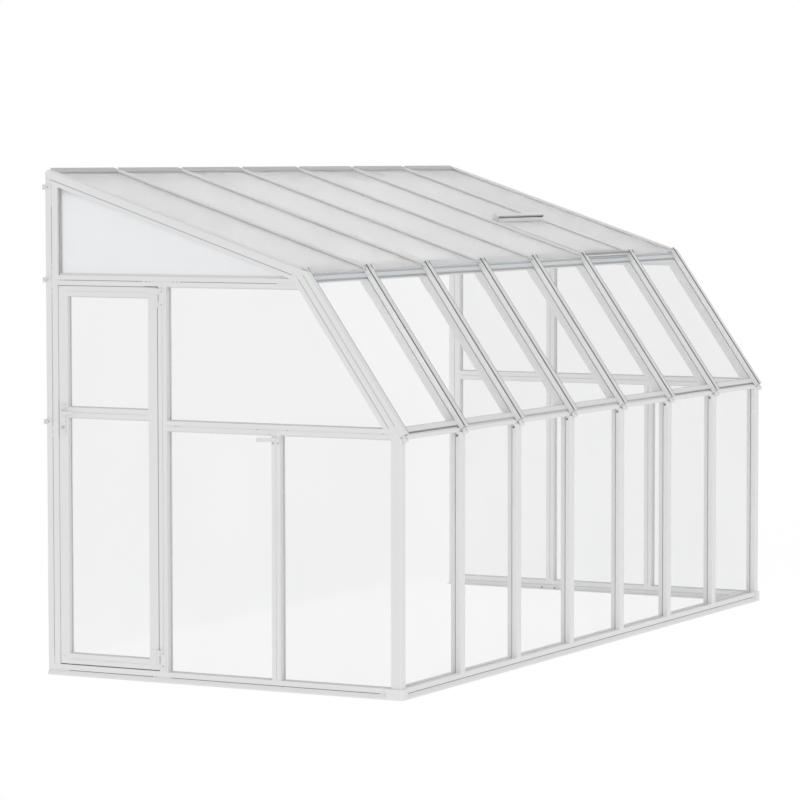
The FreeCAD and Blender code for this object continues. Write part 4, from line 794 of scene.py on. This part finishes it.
def leverMesh(name):
    # an oval carried along a straight neck, a quarter bend and a blade; its radii ease to a rounded tip
    s = leverSettings
    neckRun, arcRun, bladeRun = s["stand"] - s["bend"], s["bend"] * math.pi / 2, s["length"] - s["bend"]
    total = neckRun + arcRun + bladeRun
    along = total * (1 - np.cos(np.linspace(0.0, math.pi, s["rings"]))) / 2
    turn = np.clip((along - neckRun) / arcRun, 0, 1) * math.pi / 2
    outward = np.minimum(along, neckRun) + s["bend"] * np.sin(turn)
    sideways = s["bend"] * (1 - np.cos(turn)) + np.maximum(along - neckRun - arcRun, 0)
    ease = np.clip((along - neckRun * s["easeFrom"]) / (arcRun * s["easeOver"]), 0, 1)
    ease = ease * ease * (3 - 2 * ease)
    tip = np.sqrt(np.clip(1 - np.clip((along - total) / s["tip"] + 1, 0, 1) ** 2, s["tipEnd"], 1))
    thick = (s["neck"] + (s["thick"] - s["neck"]) * ease) * tip
    deep = (s["neck"] + (s["deep"] * (1 - s["taper"] * along / total) - s["neck"]) * ease) * tip
    sides = s["sides"]
    angle = np.linspace(0, 2 * math.pi, sides, endpoint=False)
    ring = np.arange(sides)
    following = np.roll(ring, -1)
    levels = (np.arange(s["rings"] - 1) * sides)[:, None, None]
    quads = np.stack([ring, following, following + sides, ring + sides], axis=1)[None] + levels
    quads = quads.reshape(-1, 4)
    ends = np.stack([ring[::-1], ring + (s["rings"] - 1) * sides])
    points, faces = [], []
    for side, face in zip((-1, 1), s["faces"]):
        centre = np.stack([face + side * outward, s["y"] - sideways, np.full_like(along, s["z"])], axis=1)
        across = np.stack([side * np.sin(turn), np.cos(turn), np.zeros_like(turn)], axis=1)
        grid = (centre[:, None] + (thick[:, None] * np.cos(angle))[:, :, None] * across[:, None]
                + (deep[:, None] * np.sin(angle))[:, :, None] * alongZ)
        start = len(points) * s["rings"] * sides
        points.append(grid.reshape(-1, 3))
        faces += (quads[:, ::-side] + start).tolist() + (ends[:, ::-side] + start).tolist()
    mesh = bpy.data.meshes.new(name)
    mesh.from_pydata(np.concatenate(points).tolist(), [], faces)
    smoothMesh(mesh, crispAngle["lever"])
    return mesh


def makeLevers():
    # both levers are one piece, since they share a spindle
    levers = addPiece("door_levers", leverMesh("door_levers"), handleCoat, "lever")
    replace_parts(levers, "handle_levers")


makeRubbers()
makeEdgeStrips()
makeGrooveShadeCords()
makeJointLines()
makeEave()
makeBeads()
makeDoorStops()
makePlugs()
makeVentSeals()
makeScrews()
makeLevers()
print("pieces added")


# Stage: pale floor, white surround, soft light

stageSettings = {
    "floorHalf": 60.0, "floorWhite": 0.7, "floorGlow": 1.13, "skyLight": 0.62, "sunSpread": 40.0,
    "suns": ((0.38, (0.93, 0.12, -0.35)), (0.30, (0.15, 0.93, -0.35))),  # strength, way
    "softLights": (("back_light", 9.0, (4.2, 2.2), (0.0, 1.3, 1.2), (0, -1, 0)),  # watts, size, place, way
                   ("side_light", 3.0, (1.6, 1.7), (-1.95, 0.0, 1.0), (1, 0, 0))),
}


def lightPathAny(tree, outputs):
    # 1 where the ray is any of the named kinds
    path = tree.nodes.new("ShaderNodeLightPath")
    total = path.outputs[outputs[0]]
    for output in outputs[1:]:
        larger = tree.nodes.new("ShaderNodeMath")
        larger.operation = "MAXIMUM"
        tree.links.new(total, larger.inputs[0])
        tree.links.new(path.outputs[output], larger.inputs[1])
        total = larger.outputs[0]
    return total


def makeFloor():
    # one square; plain white that takes a shadow, mixed with a glow of its own
    half = stageSettings["floorHalf"]
    corners = [(-half, -half, 0), (half, -half, 0), (half, half, 0), (-half, half, 0)]
    mesh = bpy.data.meshes.new("floor")
    mesh.from_pydata(corners, [], [(0, 1, 2, 3)])
    floor = bpy.data.objects.new("floor", mesh)
    scene.collection.objects.link(floor)
    finish = bpy.data.materials.new("floor_white")
    finish.use_nodes = True
    tree = finish.node_tree
    tree.nodes.clear()
    diffuse = tree.nodes.new("ShaderNodeBsdfDiffuse")
    diffuse.inputs["Color"].default_value = (1, 1, 1, 1)
    glow = tree.nodes.new("ShaderNodeEmission")
    glow.inputs["Strength"].default_value = stageSettings["floorGlow"]
    mix = tree.nodes.new("ShaderNodeMixShader")
    out = tree.nodes.new("ShaderNodeOutputMaterial")
    mix.inputs["Fac"].default_value = stageSettings["floorWhite"]
    tree.links.new(diffuse.outputs[0], mix.inputs[1])
    tree.links.new(glow.outputs[0], mix.inputs[2])
    tree.links.new(mix.outputs[0], out.inputs["Surface"])
    mesh.materials.append(finish)


def makeSky():
    # plain white to the eye, in gloss and through glass; the sky's own level as light
    world = bpy.data.worlds.new("studio")
    scene.world = world
    world.use_nodes = True
    tree = world.node_tree
    background = tree.nodes["Background"]
    seen = lightPathAny(tree, ["Is Camera Ray", "Is Glossy Ray", "Is Transmission Ray"])
    tree.links.new(spread(tree, seen, stageSettings["skyLight"], 1.0), background.inputs["Strength"])
    background.inputs["Color"].default_value = (1, 1, 1, 1)


def addLamp(lamp, way):
    # a lamp that looks along the given way
    light = bpy.data.objects.new(lamp.name, lamp)
    light.rotation_mode = "QUATERNION"
    light.rotation_quaternion = Vector(way).to_track_quat("-Z", "Y")
    scene.collection.objects.link(light)
    return light


def makeSuns():
    # two broad lamps, one on the door end and one on the front
    for energy, way in stageSettings["suns"]:
        lamp = bpy.data.lights.new("sun", "SUN")
        lamp.energy = energy
        lamp.angle = math.radians(stageSettings["sunSpread"])
        addLamp(lamp, way)


def makeSoftLights():
    # broad soft lamps: one behind the open side facing in, one inside the door end facing along
    for name, power, size, place, way in stageSettings["softLights"]:
        lamp = bpy.data.lights.new(name, "AREA")
        lamp.shape = "RECTANGLE"
        lamp.size, lamp.size_y = size
        lamp.energy = power
        light = addLamp(lamp, way)
        light.location = place
        light.visible_camera = light.visible_glossy = light.visible_transmission = False


makeFloor()
makeSky()
makeSuns()
makeSoftLights()


# Camera, at the photograph's angle

cameraSettings = {
    "place": (-16.72995, -8.5981, 2.45126), "azimuth": -62.29, "elevation": 3.78, "roll": -0.07,
    "lens": 165.73, "sensor": 36.0, "reach": 200.0,
}


def makeCamera():
    # looks back along the direction given by azimuth and elevation, then rolls about it
    s = cameraSettings
    azimuth, elevation = math.radians(s["azimuth"]), math.radians(s["elevation"])
    back = Vector((math.sin(azimuth) * math.cos(elevation), -math.cos(azimuth) * math.cos(elevation),
                   math.sin(elevation)))
    data = bpy.data.cameras.new("camera")
    data.sensor_width = s["sensor"]
    data.lens = s["lens"]
    data.clip_end = s["reach"]
    camera = bpy.data.objects.new("camera", data)
    camera.rotation_mode = "QUATERNION"
    turn = (-back).to_track_quat("-Z", "Y")
    roll = Matrix.Rotation(math.radians(s["roll"]), 3, "Z").to_quaternion()
    camera.rotation_quaternion = turn @ roll
    camera.location = s["place"]
    scene.collection.objects.link(camera)
    scene.camera = camera


makeCamera()
scene.view_settings.view_transform = "Standard"
print("stage and camera set")
